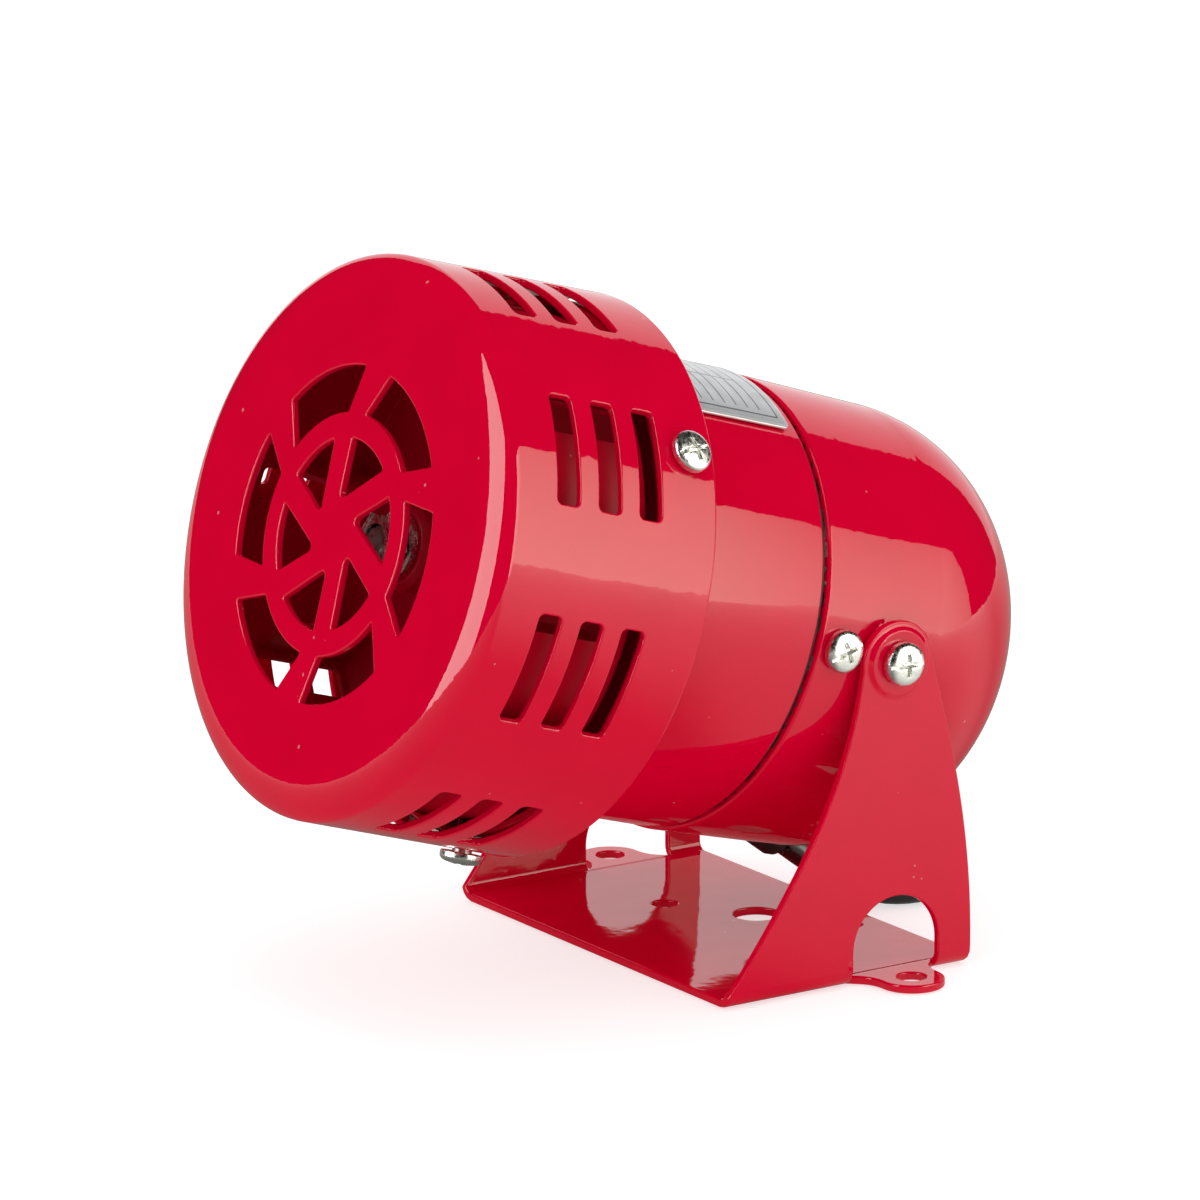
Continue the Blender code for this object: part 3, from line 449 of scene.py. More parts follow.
# ------------------------ material tools
class Nodes:
    """Short calls for building a procedural material."""

    def __init__(self, name, roughness, metallic=0.0, **sockets):
        self.mat = bpy.data.materials.new(name)
        self.mat.use_nodes = True
        self.tree = self.mat.node_tree
        self.shader = self.tree.nodes["Principled BSDF"]
        self.shader.inputs["Roughness"].default_value = roughness
        self.shader.inputs["Metallic"].default_value = metallic
        for key, value in sockets.items():
            self.shader.inputs[key.replace("_", " ")].default_value = value
        self.coords = self.tree.nodes.new("ShaderNodeTexCoord").outputs["Object"]

    def link(self, a, b):
        self.tree.links.new(a, b)

    def value(self, target, source):
        if hasattr(source, "links"):
            self.link(source, target)
        else:
            target.default_value = source

    def add(self, kind, inputs, **settings):
        """The outputs of a new node, with its settings made and its inputs linked or set."""
        n = self.tree.nodes.new("ShaderNode" + kind)
        for key, setting in settings.items():
            setattr(n, key, setting)
        for key, source in inputs.items():
            self.value(n.inputs[key], source)
        return n.outputs

    def noise(self, scale, detail=2.0, rough=0.5, coords=None):
        return self.add("TexNoise", {"Vector": coords or self.coords, "Scale": scale,
                                     "Detail": detail, "Roughness": rough})["Fac"]

    def cells(self, scale):
        return self.add("TexVoronoi", {"Vector": self.coords, "Scale": scale})["Distance"]

    def math(self, operation, a, b=0.0):
        return self.add("Math", {0: a, 1: b}, operation=operation)[0]

    def vector(self, operation, a, b=(0.0, 0.0, 0.0), output="Vector"):
        return self.add("VectorMath", {0: a, 1: b}, operation=operation)[output]

    def ramp(self, source, low, high, out_low=0.0, out_high=1.0, smooth=True):
        return self.add("MapRange", {"Value": source, "From Min": low, "From Max": high,
                                     "To Min": out_low, "To Max": out_high},
                        interpolation_type="SMOOTHSTEP" if smooth else "LINEAR")["Result"]

    def mix(self, factor, a, b):
        a, b = (v if hasattr(v, "links") else (*v, 1.0) for v in (a, b))
        return self.add("Mix", {"Factor": factor, 6: a, 7: b}, data_type="RGBA")[2]

    def bump(self, height, distance):
        return self.add("Bump", {"Distance": distance, "Height": height})["Normal"]

    def body_frame(self):
        """Object coordinates turned to the siren's axis: X, station from the pivot, up."""
        inverse = BODY.inverted()
        return self.add("Mapping", {"Location": inverse.translation, "Rotation": inverse.to_euler(),
                                    "Vector": self.coords}, vector_type="POINT")["Vector"]

    def split(self, vector):
        return self.add("SeparateXYZ", {0: vector})

    def done(self, colour=None, roughness=None, normal=None, coat_normal=None):
        if colour is not None:
            self.value(self.shader.inputs["Base Color"], colour)
        if roughness is not None:
            self.value(self.shader.inputs["Roughness"], roughness)
        if normal is not None:
            self.link(normal, self.shader.inputs["Normal"])
        if coat_normal is not None:
            self.link(coat_normal, self.shader.inputs["Coat Normal"])
        return self.mat


def enamel(name, colour, roughness, coat_roughness, peel, gloss=1.0):
    """Stoved gloss enamel: orange peel, faint mottle, a few trapped dust specks."""
    m = Nodes(name, roughness, Coat_Weight=gloss, Coat_Roughness=coat_roughness, Coat_IOR=1.5,
              IOR=1.5, Specular_IOR_Level=0.0)
    mottle = m.ramp(m.noise(90.0, 3.0), 0.3, 0.7)
    tint = m.mix(mottle, tuple(c * 0.95 for c in colour), colour)
    dust = m.cells(420.0)
    size = m.ramp(m.noise(230.0, 1.0), 0.62, 0.72, 0.0, 0.13)
    speck = m.math("LESS_THAN", dust, size)
    tint = m.mix(m.math("MULTIPLY", speck, 0.45), tint, (0.85, 0.45, 0.45))
    peel_height = m.math("ADD", m.noise(620.0, 1.0, 0.4), m.math("MULTIPLY", m.noise(150.0, 0.0), 3.0))
    normal = m.bump(peel_height, peel)
    rough = m.ramp(m.noise(35.0, 3.0), 0.3, 0.7, roughness * 0.85, roughness * 1.15)
    return m.done(tint, rough, normal, normal)


RED_COLOUR = (0.82, 0.0, 0.034)
RED = enamel("red_enamel", RED_COLOUR, 0.30, 0.03, 1.1e-5)
BRACKET_RED = enamel("bracket_enamel", RED_COLOUR, 0.34, 0.05, 1.3e-5)
ROTOR_RED = enamel("rotor_enamel", (0.60, 0.0, 0.02), 0.34, 0.32, 1.4e-5, 0.25)


def plated(name, colour, roughness, grain, depth, stain=0.25):
    """Bright plating: fine tumbled dents, cloudy stains and tiny scratches."""
    m = Nodes(name, roughness, 1.0)
    cloud = m.ramp(m.noise(grain * 1.3, 3.0, 0.6), 0.35, 0.75)
    tint = m.mix(m.math("MULTIPLY", cloud, stain), colour, tuple(c * 0.45 for c in colour))
    rough = m.ramp(m.noise(grain * 3.0, 4.0), 0.3, 0.7, roughness * 0.7, roughness * 1.5)
    dents = m.math("ADD", m.noise(grain, 2.0), m.math("MULTIPLY", m.noise(grain * 5.0, 3.0), 0.25))
    return m.done(tint, rough, m.bump(dents, depth))


ZINC = plated("bright_zinc", (0.90, 0.90, 0.88), 0.26, 620.0, 6.5e-5)


def brushed(name, colour, roughness, stretch, scale=900.0):
    """Turned or drawn metal with fine lines."""
    m = Nodes(name, roughness, 1.0)
    stretched = m.add("Mapping", {"Vector": m.coords, "Scale": stretch})["Vector"]
    lines = m.noise(scale, 4.0, 0.6, stretched)
    tint = m.mix(lines, tuple(c * 0.75 for c in colour), colour)
    rough = m.ramp(lines, 0.3, 0.7, roughness * 0.75, roughness * 1.35)
    return m.done(tint, rough, m.bump(lines, 8e-6))


STEEL = brushed("steel", (0.56, 0.56, 0.57), 0.34, (1.0, 0.12, 1.0))
BRASS = brushed("brass", (0.78, 0.57, 0.25), 0.28, (0.2, 1.0, 1.0))


def moulded(name, colour, roughness, coat, grain, depth):
    """Rubber or soft plastic with a fine moulded grain and a dusty bloom."""
    m = Nodes(name, roughness, Coat_Weight=coat, Coat_Roughness=0.12)
    bloom = m.ramp(m.noise(140.0, 3.0, 0.6), 0.45, 0.8)
    tint = m.mix(m.math("MULTIPLY", bloom, 0.35), colour, tuple(c * 2.2 + 0.006 for c in colour))
    rough = m.ramp(m.noise(300.0, 2.0), 0.3, 0.7, roughness * 0.8, roughness * 1.25)
    return m.done(tint, rough, m.bump(m.noise(grain, 3.0, 0.6), depth))


RUBBER = moulded("black_rubber", (0.012, 0.012, 0.013), 0.55, 0.0, 1800.0, 2.5e-5)
JACKET = moulded("black_jacket", (0.010, 0.010, 0.011), 0.26, 0.6, 900.0, 1.2e-5)
RED_CORE = moulded("red_insulation", (0.55, 0.008, 0.01), 0.34, 0.3, 1400.0, 8e-6)
CARBON = moulded("pressed_carbon", (0.030, 0.030, 0.031), 0.62, 0.0, 2600.0, 3e-5)


def ferrite_material():
    """Sintered ferrite with fine pits."""
    m = Nodes("sintered_ferrite", 0.55)
    pits = m.cells(1500.0)
    tint = m.mix(m.noise(700.0, 4.0), (0.03, 0.03, 0.034), (0.085, 0.085, 0.09))
    return m.done(tint, m.ramp(pits, 0.0, 0.6, 0.7, 0.42), m.bump(pits, 3e-5))


def winding_material():
    """Enamelled copper wire, laid in fine turns."""
    m = Nodes("copper_winding", 0.26, 1.0, Coat_Weight=0.5, Coat_Roughness=0.1)
    x, _, z = m.split(m.body_frame())
    around = m.math("ARCTAN2", z, x)
    turns = m.math("SINE", m.math("MULTIPLY", around, 230.0))
    turns = m.math("ADD", turns, m.math("MULTIPLY", m.noise(500.0, 2.0), 0.7))
    tint = m.mix(m.ramp(turns, -1.0, 1.2), (0.42, 0.14, 0.06), (0.86, 0.40, 0.20))
    return m.done(tint, None, m.bump(turns, 6e-5))


FERRITE, WINDING = ferrite_material(), winding_material()
COPPER = brushed("commutator_copper", (0.80, 0.42, 0.26), 0.30, (1.0, 0.1, 1.0))
STRANDS = brushed("tinned_strands", (0.78, 0.76, 0.72), 0.30, (1.0, 1.0, 0.2), 2400.0)


def label_material():
    """Satin silver foil with a printed border and thin ruled lines."""
    m = Nodes("silver_label", 0.34, 0.55, Coat_Weight=0.35, Coat_Roughness=0.08)
    x, y, z = m.split(m.body_frame())
    around = m.math("ARCTAN2", x, z)
    u = m.math("DIVIDE", around, LABEL_HALF_ANGLE)
    low, high = LABEL_SPAN[0] - PIVOT_STATION, LABEL_SPAN[1] - PIVOT_STATION
    v = m.math("DIVIDE", m.math("SUBTRACT", y, (low + high) / 2), (high - low) / 2)

    def band(value, at, half):
        return m.math("LESS_THAN", m.math("ABSOLUTE", m.math("SUBTRACT", value, at)), half)

    def span(value, low, high):
        return band(value, (low + high) / 2, (high - low) / 2)

    def both(a, b):
        return m.math("MULTIPLY", a, b)

    def either(a, b):
        return m.math("MAXIMUM", a, b)

    au, av = m.math("ABSOLUTE", u), m.math("ABSOLUTE", v)
    ink = either(both(band(au, 0.90, 0.008), span(v, -0.86, 0.86)),
                 both(band(av, 0.86, 0.013), span(u, -0.90, 0.90)))
    for k in range(LABEL_LINES):
        at = -0.60 + 1.20 * k / (LABEL_LINES - 1)
        ink = either(ink, both(band(v, at, 0.012), span(u, -0.84, 0.84)))
    ink = either(ink, both(band(au, 0.42, 0.007), span(v, -0.60, 0.60)))
    fibre = m.noise(1500.0, 3.0, 0.7)
    foil = m.mix(fibre, (0.60, 0.62, 0.64), (0.76, 0.78, 0.79))
    rim = either(m.math("GREATER_THAN", au, 0.965), m.math("GREATER_THAN", av, 0.95))
    foil = m.mix(rim, foil, (0.86, 0.86, 0.86))
    tint = m.mix(m.math("MULTIPLY", ink, 0.85), foil, (0.05, 0.05, 0.055))
    rough = m.ramp(m.noise(420.0, 3.0), 0.3, 0.7, 0.28, 0.42)
    return m.done(tint, rough, m.bump(m.noise(700.0, 2.0), 1.0e-5))


LABEL = label_material()


# ------------------------ lead, first of the pieces
def cord_exit():
    """Where the lead's middle line passes through the dome."""
    along = CORD_EXIT_STATION - COVER_SPAN[1] + DOME_RADIUS
    radius = COVER_REAR_RADIUS - DOME_RADIUS + math.sqrt(DOME_RADIUS**2 - along**2)
    return polar(radius, CORD_EXIT_ANGLE, CORD_EXIT_STATION)


def smooth_curve(points, spacing):
    """Points a fixed distance apart on one Catmull-Rom curve through a route."""
    p = [Vector(q) for q in points]
    p = [p[0] * 2 - p[1]] + p + [p[-1] * 2 - p[-2]]
    fine = []
    for a, b, c, d in zip(p, p[1:], p[2:], p[3:]):
        for k in range(24):
            t = k / 24
            fine.append(0.5 * (2 * b + (c - a) * t + (2 * a - 5 * b + 4 * c - d) * t * t
                               + (3 * b - a - 3 * c + d) * t**3))
    fine.append(p[-2])
    steps = [0.0]
    for a, b in zip(fine, fine[1:]):
        steps.append(steps[-1] + (b - a).length)
    at = np.linspace(0.0, steps[-1], max(2, round(steps[-1] / spacing)) + 1)
    xyz = [np.interp(at, steps, [v[i] for v in fine]) for i in range(3)]
    return [Vector(q) for q in zip(*xyz)], steps[-1]


def sweep_tube(name, points, radius, mat, sides=20):
    """A round tube along points, closed at both ends, with true normals."""
    skin = Skin()
    up = Vector((0.0, 0.0, 1.0))
    rings = []
    tangents = [(b - a).normalized() for a, b in zip(points, points[1:])]
    between = [(a + b).normalized() for a, b in zip(tangents, tangents[1:])]
    tangents = [tangents[0], *between, tangents[-1]]
    side = tangents[0].cross(up).normalized()
    for q, t in zip(points, tangents):
        side = (side - t * side.dot(t)).normalized()
        other = t.cross(side)
        rings.append([skin.vert(q + n * radius, n) for n in
                      (side * math.cos(a) + other * math.sin(a)
                       for a in turn(sides))])
    for a, b in zip(rings, rings[1:]):
        skin.bridge(a, b)
    for ring, q, t in ((rings[0], points[0], -tangents[0]), (rings[-1], points[-1], tangents[-1])):
        skin.face([skin.vert(v.co, t) for v in ring])
    return skin.finish(name, mat)


def build_lead():
    """One lead from the grommet to the floor, then two flat turns."""
    out = cord_exit()
    y, floor = PIVOT.y, CORD_RADIUS + 0.00005
    route = [
        out + CORD_DIRECTION * 0.0029, out + CORD_DIRECTION * 0.0078,
        (-0.0024, y + 0.0152, 0.0053), (0.0002, y + 0.0186, 0.0032),
        (0.0030, y + 0.0218, floor + 0.0001), (0.0050, y + 0.0253, floor),
        (0.0046, y + 0.0294, floor), (0.0015, y + 0.0330, floor),
        (-0.0040, y + 0.0373, floor), (-0.0130, y + 0.0441, floor),
        (-0.0220, y + 0.0509, floor), (-0.0305, y + 0.0574, floor),
    ]
    begin, turns, width, pitch = math.radians(54.0), 2.0, 0.0240, 0.0045
    steps = 48
    for k in range(round(steps * turns) + 1):
        a = begin + 2 * math.pi * k / steps
        r = width - pitch * max(0.0, (k / steps - 0.04)) * turns / (turns - 0.04)
        route.append((COIL_CENTRE.x + r * math.cos(a), COIL_CENTRE.y + r * math.sin(a), floor))
    points, length = smooth_curve(route, 0.0016)
    cord = sweep_tube("lead", points, CORD_RADIUS, JACKET)
    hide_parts("power_cord", "cord_coil")
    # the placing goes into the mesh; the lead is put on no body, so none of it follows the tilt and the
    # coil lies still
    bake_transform(cord)
    return cord, out, points, length


def build_cores(end, aim):
    """The lead's two cores, bared past its jacket, curl on round the coil to tinned strands."""
    across = Vector((-aim.y, aim.x, 0.0))
    reach = (end - COIL_CENTRE).xy.length
    begin = math.atan2(end.y - COIL_CENTRE.y, end.x - COIL_CENTRE.x)
    made = []
    for colour, side, mat, slot, turn in (("red", 1, RED_CORE, "red_insulation", 88.0),
                                          ("black", -1, JACKET, "jacket", 70.0)):
        route = [end + across * (side * 0.0008) - aim * 0.0012, end + across * (side * 0.0008)]
        for k in range(1, 9):
            a = begin + math.radians(turn) * k / 8
            r = reach - side * 0.0008 - 0.0046 * smoothstep(k / 8) - side * 0.0006 * math.sin(k * 0.7)
            z = end.z - (end.z - CORE_RADIUS) * smoothstep(k / 4)
            route.append((COIL_CENTRE.x + r * math.cos(a), COIL_CENTRE.y + r * math.sin(a), z))
        points, _ = smooth_curve(route, 0.0008)
        core = sweep_tube(f"bared_core_{colour}", points, CORE_RADIUS, mat, 16)
        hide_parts(f"core_{colour}")
        along = (points[-1] - points[-2]).normalized()
        strand = [points[-1] - along * 0.0006 + along * (0.0005 * k) for k in range(12)]
        tip = sweep_tube(f"bared_tip_{colour}", strand, CORE_RADIUS * 0.62, STRANDS, 16)
        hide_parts(f"core_tip_{colour}")
        made += [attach(core, "bracket"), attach(tip, "bracket")]
    return made


cord, cord_out, cord_points, cord_length = build_lead()
bared = build_cores(cord_points[-1], (cord_points[-1] - cord_points[-2]).normalized())


# ------------------------ bracket
def unfold(z):
    """Height above the floor on an arm's outer face, as a distance along the flat sheet."""
    start = BRACKET_WIDTH / 2 - BEND_RADIUS
    if z < BEND_RADIUS:
        return start + BEND_RADIUS * math.acos(1 - max(0.0, z) / BEND_RADIUS)
    return start + BEND_RADIUS * math.pi / 2 + z - BEND_RADIUS


def build_bracket():
    start = BRACKET_WIDTH / 2 - BEND_RADIUS
    y, z = PIVOT.y, PIVOT.z
    front = bezier((PLATE_FRONT, 0.0018), (y - 0.0150, 0.0210), (y - 0.0085, 0.0330),
                   (y - LUG_RADIUS, z - 0.0010), 40)
    lug = arc((y, z), LUG_RADIUS, math.pi, 0.0, 40)[1:]
    rear = bezier(lug[-1], (y + 0.0098, 0.0360), (PLATE_REAR, 0.0220), (PLATE_REAR, 0.0040), 36)[1:]
    arm = [(unfold(h), v) for v, h in front + lug + rear]
    right = [(start, PLATE_FRONT)] + [(start + 0.0012, PLATE_FRONT)] + arm
    right += [(start + 0.0012, PLATE_REAR), (start, PLATE_REAR)]
    outer = right + [(-u, v) for u, v in reversed(right)]
    outer = spaced(outer, 0.0012)

    root = BRACKET_WIDTH / 2 - 0.0014
    neck = BRACKET_WIDTH / 2 + 0.0018
    foot = unfold(0.0002)
    crown = unfold(ARCH_TOP - ARCH_HALF)
    arch = [(foot, y - ARCH_HALF)] + arc((crown, y), ARCH_HALF, -math.pi / 2, math.pi / 2, 40)
    arch += [(foot, y + ARCH_HALF)]
    side = bezier((root + 0.0001, ARCH_HALF - 0.0004), (root + 0.0012, EAR_HALF + 0.0012),
                  (neck - 0.0012, EAR_HALF), (EAR_HOLE_X - 0.0004, EAR_HALF), 14)
    tip = arc((EAR_HOLE_X, y), EAR_HALF, math.pi / 2, -math.pi / 2, 32)
    ear = [(u, y + v) for u, v in side] + tip + [(u, y - v) for u, v in reversed(side)]
    slit = spaced(arch + ear, 0.0010)

    def disc(u, v, r, steps=40):
        return arc((u, v), r, 0, 2 * math.pi * (1 - 1 / steps), steps - 1)

    height = unfold(z)
    holes = [slit, [(-u, v) for u, v in slit], disc(0.0, y, BOLT_HOLE_RADIUS),
             disc(-SIDE_HOLE_X, y - SIDE_HOLE_Y, SIDE_HOLE_RADIUS, 28),
             disc(SIDE_HOLE_X, y + SIDE_HOLE_Y, SIDE_HOLE_RADIUS, 28),
             disc(EAR_HOLE_X, y, EAR_HOLE_RADIUS, 32), disc(-EAR_HOLE_X, y, EAR_HOLE_RADIUS, 32),
             disc(height, y, PIVOT_HOLE_RADIUS, 32), disc(-height, y, PIVOT_HOLE_RADIUS, 32)]

    def place(u, v, h):
        s, a = (1 if u >= 0 else -1), abs(u)
        reach = abs(v - y)
        on_ear = a > root - 0.0002 and a < 0.0458 and reach < (
            EAR_HALF + 0.0012 if a > neck - 0.0006 else ARCH_HALF - 0.0001)
        if a > crown - 0.0008 and reach > 0.0 and (a - EAR_HOLE_X) ** 2 + reach**2 > 0.0061**2:
            on_ear = False
        if a <= start or on_ear:
            return Vector((u, v, h))
        t = (a - start) / BEND_RADIUS
        r = BEND_RADIUS - h
        if t < math.pi / 2:
            return Vector((s * (start + r * math.sin(t)), v, BEND_RADIUS - r * math.cos(t)))
        up = BEND_RADIUS + a - start - BEND_RADIUS * math.pi / 2
        d = math.hypot(v - y, up - z)
        lift = DIMPLE_HEIGHT * smoothstep((DIMPLE_RADIUS + 0.0001 - d) / 0.0009)
        return Vector((s * (BRACKET_WIDTH / 2 - h + lift), v, up))

    extra = []
    for s in (1, -1):
        for k in range(13):
            u = start + BEND_RADIUS * math.pi / 2 * k / 12
            extra += [(s * u, v) for v in np.arange(PLATE_FRONT + 0.0005, PLATE_REAR, 0.0008)]
        for r in (0.0040, 0.0044, 0.0047, 0.0049, 0.0051, 0.0053, 0.0055, 0.0058):
            extra += [(s * height + r * math.cos(a), y + r * math.sin(a))
                      for a in np.linspace(0, 2 * math.pi, 64, endpoint=False)]
        extra += [(s * u, v) for u in np.arange(start + 0.0055, height - 0.006, 0.004)
                  for v in np.arange(PLATE_FRONT, PLATE_REAR, 0.004)]
    extra += [(u, v) for u in np.arange(-0.032, 0.0321, 0.004)
              for v in np.arange(PLATE_FRONT + 0.002, PLATE_REAR, 0.004)]
    skin = Skin()
    panel(skin, outer, holes, place, SHEET, extra)
    bracket = skin.finish("tilt_bracket", BRACKET_RED)
    seat(bracket, "mounting_bracket", "bracket")


build_bracket()


# ------------------------ sounding head
SLOPE = (CAP_RIM_RADIUS - CAP_FRONT_RADIUS) / CAP_LENGTH


def build_cap():
    """The pressed cap, with the grille in its face and slots in its side."""
    skin = Skin()

    # flat face with the swirl grille
    begin = SLOT_START - math.pi / SLOT_GROUPS
    face_radius = CAP_FRONT_RADIUS - CAP_CORNER_REACH
    ring = arc((0, 0), face_radius, begin, begin + 2 * math.pi * (1 - 1 / ROUND), ROUND - 1)
    deg = math.radians
    windows = []
    for k in range(GRILLE_FOLD):
        at = k * 2 * math.pi / GRILLE_FOLD
        low, high = GRILLE_OUTER
        shape = arc((0, 0), high, at + deg(94), at + deg(138), 24)
        shape += arc((0, 0), low, at + deg(146), at + deg(101), 20)
        windows.append(rounded(shape, 0.0008, 6))
        low, high = GRILLE_INNER
        shape = arc((0, 0), high, at + deg(112), at + deg(153), 14)
        shape += [(low * math.cos(at + deg(155)), low * math.sin(at + deg(155)))]
        windows.append(rounded(shape, 0.0008, 6))

    def face(u, v, h):
        return BODY @ Vector((u, h - PIVOT_STATION, v))

    web = [(r * math.cos(a), r * math.sin(a)) for r in (0.0030, 0.0165, 0.0280, 0.0310, 0.0335)
           for a in np.linspace(0, 2 * math.pi, 48, endpoint=False)]
    panel(skin, ring, windows, face, CAP_WALL, web, rim_outer=False)

    # side wall, unrolled, with three slots in each group
    end = CAP_LENGTH - LIP
    outer, grid = laid_flat(CAP_RIM_RADIUS, list(np.linspace(CAP_CORNER_DEPTH, end, 24)), ROUND)
    slots = []
    for k in range(SLOT_GROUPS):
        centre = (SLOT_START + k * 2 * math.pi / SLOT_GROUPS - begin) % (2 * math.pi)
        low, high = ((centre + side * SLOT_HALF_ANGLE) * CAP_RIM_RADIUS for side in (-1, 1))
        slots += [opening(low, high, at - SLOT_WIDTH / 2, at + SLOT_WIDTH / 2, 0.0009, 6, 0.0012)
                  for at in SLOT_STATIONS]

    def wall(u, v, h):
        return polar(CAP_FRONT_RADIUS + SLOPE * v - h, begin + u, v)

    panel(skin, outer, slots, wall, CAP_WALL, grid, rim_outer=False, metric=CAP_RIM_RADIUS)

    # front corner and rear rim, outer and inner skins; their points meet the wall's columns
    for depth, flip in ((0.0, 1), (CAP_WALL, -1)):
        deep, wide = CAP_CORNER_DEPTH - depth, CAP_CORNER_REACH - depth
        profile = []
        for k in range(CORNER_STEPS + 1):
            a = math.pi / 2 * k / CORNER_STEPS
            swell = SLOPE * CAP_CORNER_DEPTH * k / CORNER_STEPS
            profile.append((CAP_CORNER_DEPTH - deep * math.cos(a),
                            face_radius + wide * math.sin(a) + swell,
                            -wide * math.cos(a) * flip, deep * math.sin(a) * flip))
        chain(skin, profile, begin)
    outer_end = CAP_FRONT_RADIUS + SLOPE * end
    rim = [(end, outer_end, 0, 1)]
    rim += [(end + LIP * math.sin(a), outer_end - LIP * (1 - math.cos(a)), math.sin(a), math.cos(a))
            for a in quarter(5)[1:]]
    inner_end = outer_end - CAP_WALL
    rim += [(end + LIP * math.cos(a), inner_end + LIP * (1 - math.sin(a)), math.cos(a), -math.sin(a))
            for a in quarter(5)]
    chain(skin, rim, begin)
    cap = skin.finish("grille_cap", RED)
    seat(cap, "front_grille_cap", "housing")


build_cap()


def head_plate():
    """The plate that closes the head's back."""
    plate = turned("back_plate", [
        (0.0362, 0.0092), (0.0362, 0.0376), (0.0352, 0.0390), (0.0295, 0.0390),
        (0.0295, 0.0404), (0.0365, 0.0404), (0.0377, 0.0392), (0.0377, 0.0092)], RED, 0.0004)
    seat(plate, "head_back_plate", "housing")


head_plate()


# ------------------------ housing
def build_tube():
    front, rear = TUBE_SPAN
    inner = TUBE_RADIUS - TUBE_WALL
    tube = turned("middle_tube", [(front, 0.0270), (front, TUBE_RADIUS), (rear, TUBE_RADIUS), (rear, inner),
                                  (front + 0.0013, inner), (front + 0.0013, 0.0270)], RED, 0.00035)
    seat(tube, "middle_housing", "housing")


def build_seal():
    low, high = GASKET_SPAN
    inner, outer = GASKET_RADII
    section = [(low, inner), (low, outer), (high, outer), (high, inner)]
    gasket = turned("seam_seal", section, RUBBER, 0.00008)
    seat(gasket, "seam_gasket", "housing")


def build_cover():
    """A cylinder with a slight taper that runs into a dome, and a flat boss round each pivot."""
    start, end = COVER_SPAN
    centre_station, centre_radius = end - DOME_RADIUS, COVER_REAR_RADIUS - DOME_RADIUS
    rows = [(start, COVER_FRONT_RADIUS - COVER_WALL, -1, 0), (start, COVER_FRONT_RADIUS - LIP, -1, 0)]
    rows += [(start + LIP * (1 - math.cos(a)), COVER_FRONT_RADIUS - LIP + LIP * math.sin(a),
              -math.cos(a), math.sin(a)) for a in quarter(5)[1:]]
    run = centre_station - start - LIP
    slope = (COVER_FRONT_RADIUS - COVER_REAR_RADIUS) / run
    count = 52
    for k in range(1, count):
        rows.append((start + LIP + run * k / count, COVER_FRONT_RADIUS - slope * run * k / count,
                     slope, 1))
    steps = 60
    for k in range(steps):
        a = math.pi / 2 * k / steps
        rows.append((centre_station + DOME_RADIUS * math.sin(a), centre_radius + DOME_RADIUS * math.cos(a),
                     math.sin(a), math.cos(a)))
    flat = max(centre_radius, 1e-4)
    rows += [(end, flat * k / 3, 1, 0) for k in (3, 2, 1)]

    def bosses(p, n):
        local = BODY.inverted() @ p
        d = math.hypot(local.y, local.z)
        w = smoothstep((BOSS_RADIUS - d) / BOSS_EDGE)
        if w <= 0 or abs(local.x) < 0.025:
            return p, n
        s = 1 if local.x > 0 else -1
        goal = s * BOSS_FACE_X
        moved = local.copy()
        moved.x = local.x + (goal - local.x) * w
        # tilt the normal with the step's own slope
        gap, t = abs(goal - local.x), (BOSS_RADIUS - d) / BOSS_EDGE
        steep = gap * (6 * t * (1 - t) / BOSS_EDGE if 0 < t < 1 else 0.0)
        base = BODY.to_3x3().inverted() @ n
        flat_n = Vector((s, 0, 0))
        mixed = base.lerp(flat_n, w)
        away = Vector((0, local.y, local.z)).normalized()
        mixed = (mixed + away * steep).normalized()
        return BODY @ moved, BODY.to_3x3() @ mixed

    skin = Skin()
    dense = 288
    last = chain(skin, rows, 0.0, dense, shape=bosses)[-1]
    tip = skin.vert(polar(0, 0, end), AXIS)
    for k in range(dense):
        skin.face([last[k], last[(k + 1) % dense], tip])
    # inner skin, which closes the shell
    inside_rows = [(start, COVER_FRONT_RADIUS - COVER_WALL, 0, -1)]
    r = DOME_RADIUS - COVER_WALL
    for k in range(17):
        a = math.pi / 2 * k / 16
        inside_rows.append((centre_station + r * math.sin(a), centre_radius + r * math.cos(a) - 1e-5,
                            -math.sin(a), -math.cos(a)))
    skin.face(chain(skin, inside_rows, 0.0, dense)[-1])
    cover = skin.finish("domed_cover", RED)
    seat(cover, "rear_cover", "housing")


def build_label():
    """Foil bent to the tube."""
    radius = TUBE_RADIUS + 0.0003
    low, high = LABEL_SPAN
    half = LABEL_HALF_ANGLE * radius
    corners = [(-half, low), (half, low), (half, high), (-half, high)]
    outline = spaced(rounded(corners, 0.0010, 6), 0.0009)
    skin = Skin()

    def foil(u, v, h):
        return polar(radius + 0.0004 - h, math.pi / 2 - u, v)

    grid = [(u, v) for u in np.arange(-half, half, 0.0009) for v in np.linspace(low, high, 12)]
    panel(skin, outline, [], foil, 0.0004, grid, metric=radius, edge=0.00012)
    label = skin.finish("rating_plate", LABEL)
    seat(label, "label_plate", "housing")


for build in (build_tube, build_seal, build_cover, build_label):
    build()


# ------------------------ screws
def as_mesh(name, bm):
    """A mesh from a bmesh, with its normals facing out."""
    bmesh.ops.recalc_face_normals(bm, faces=bm.faces)
    mesh = bpy.data.meshes.new(name)
    bm.to_mesh(mesh)
    bm.free()
    return mesh


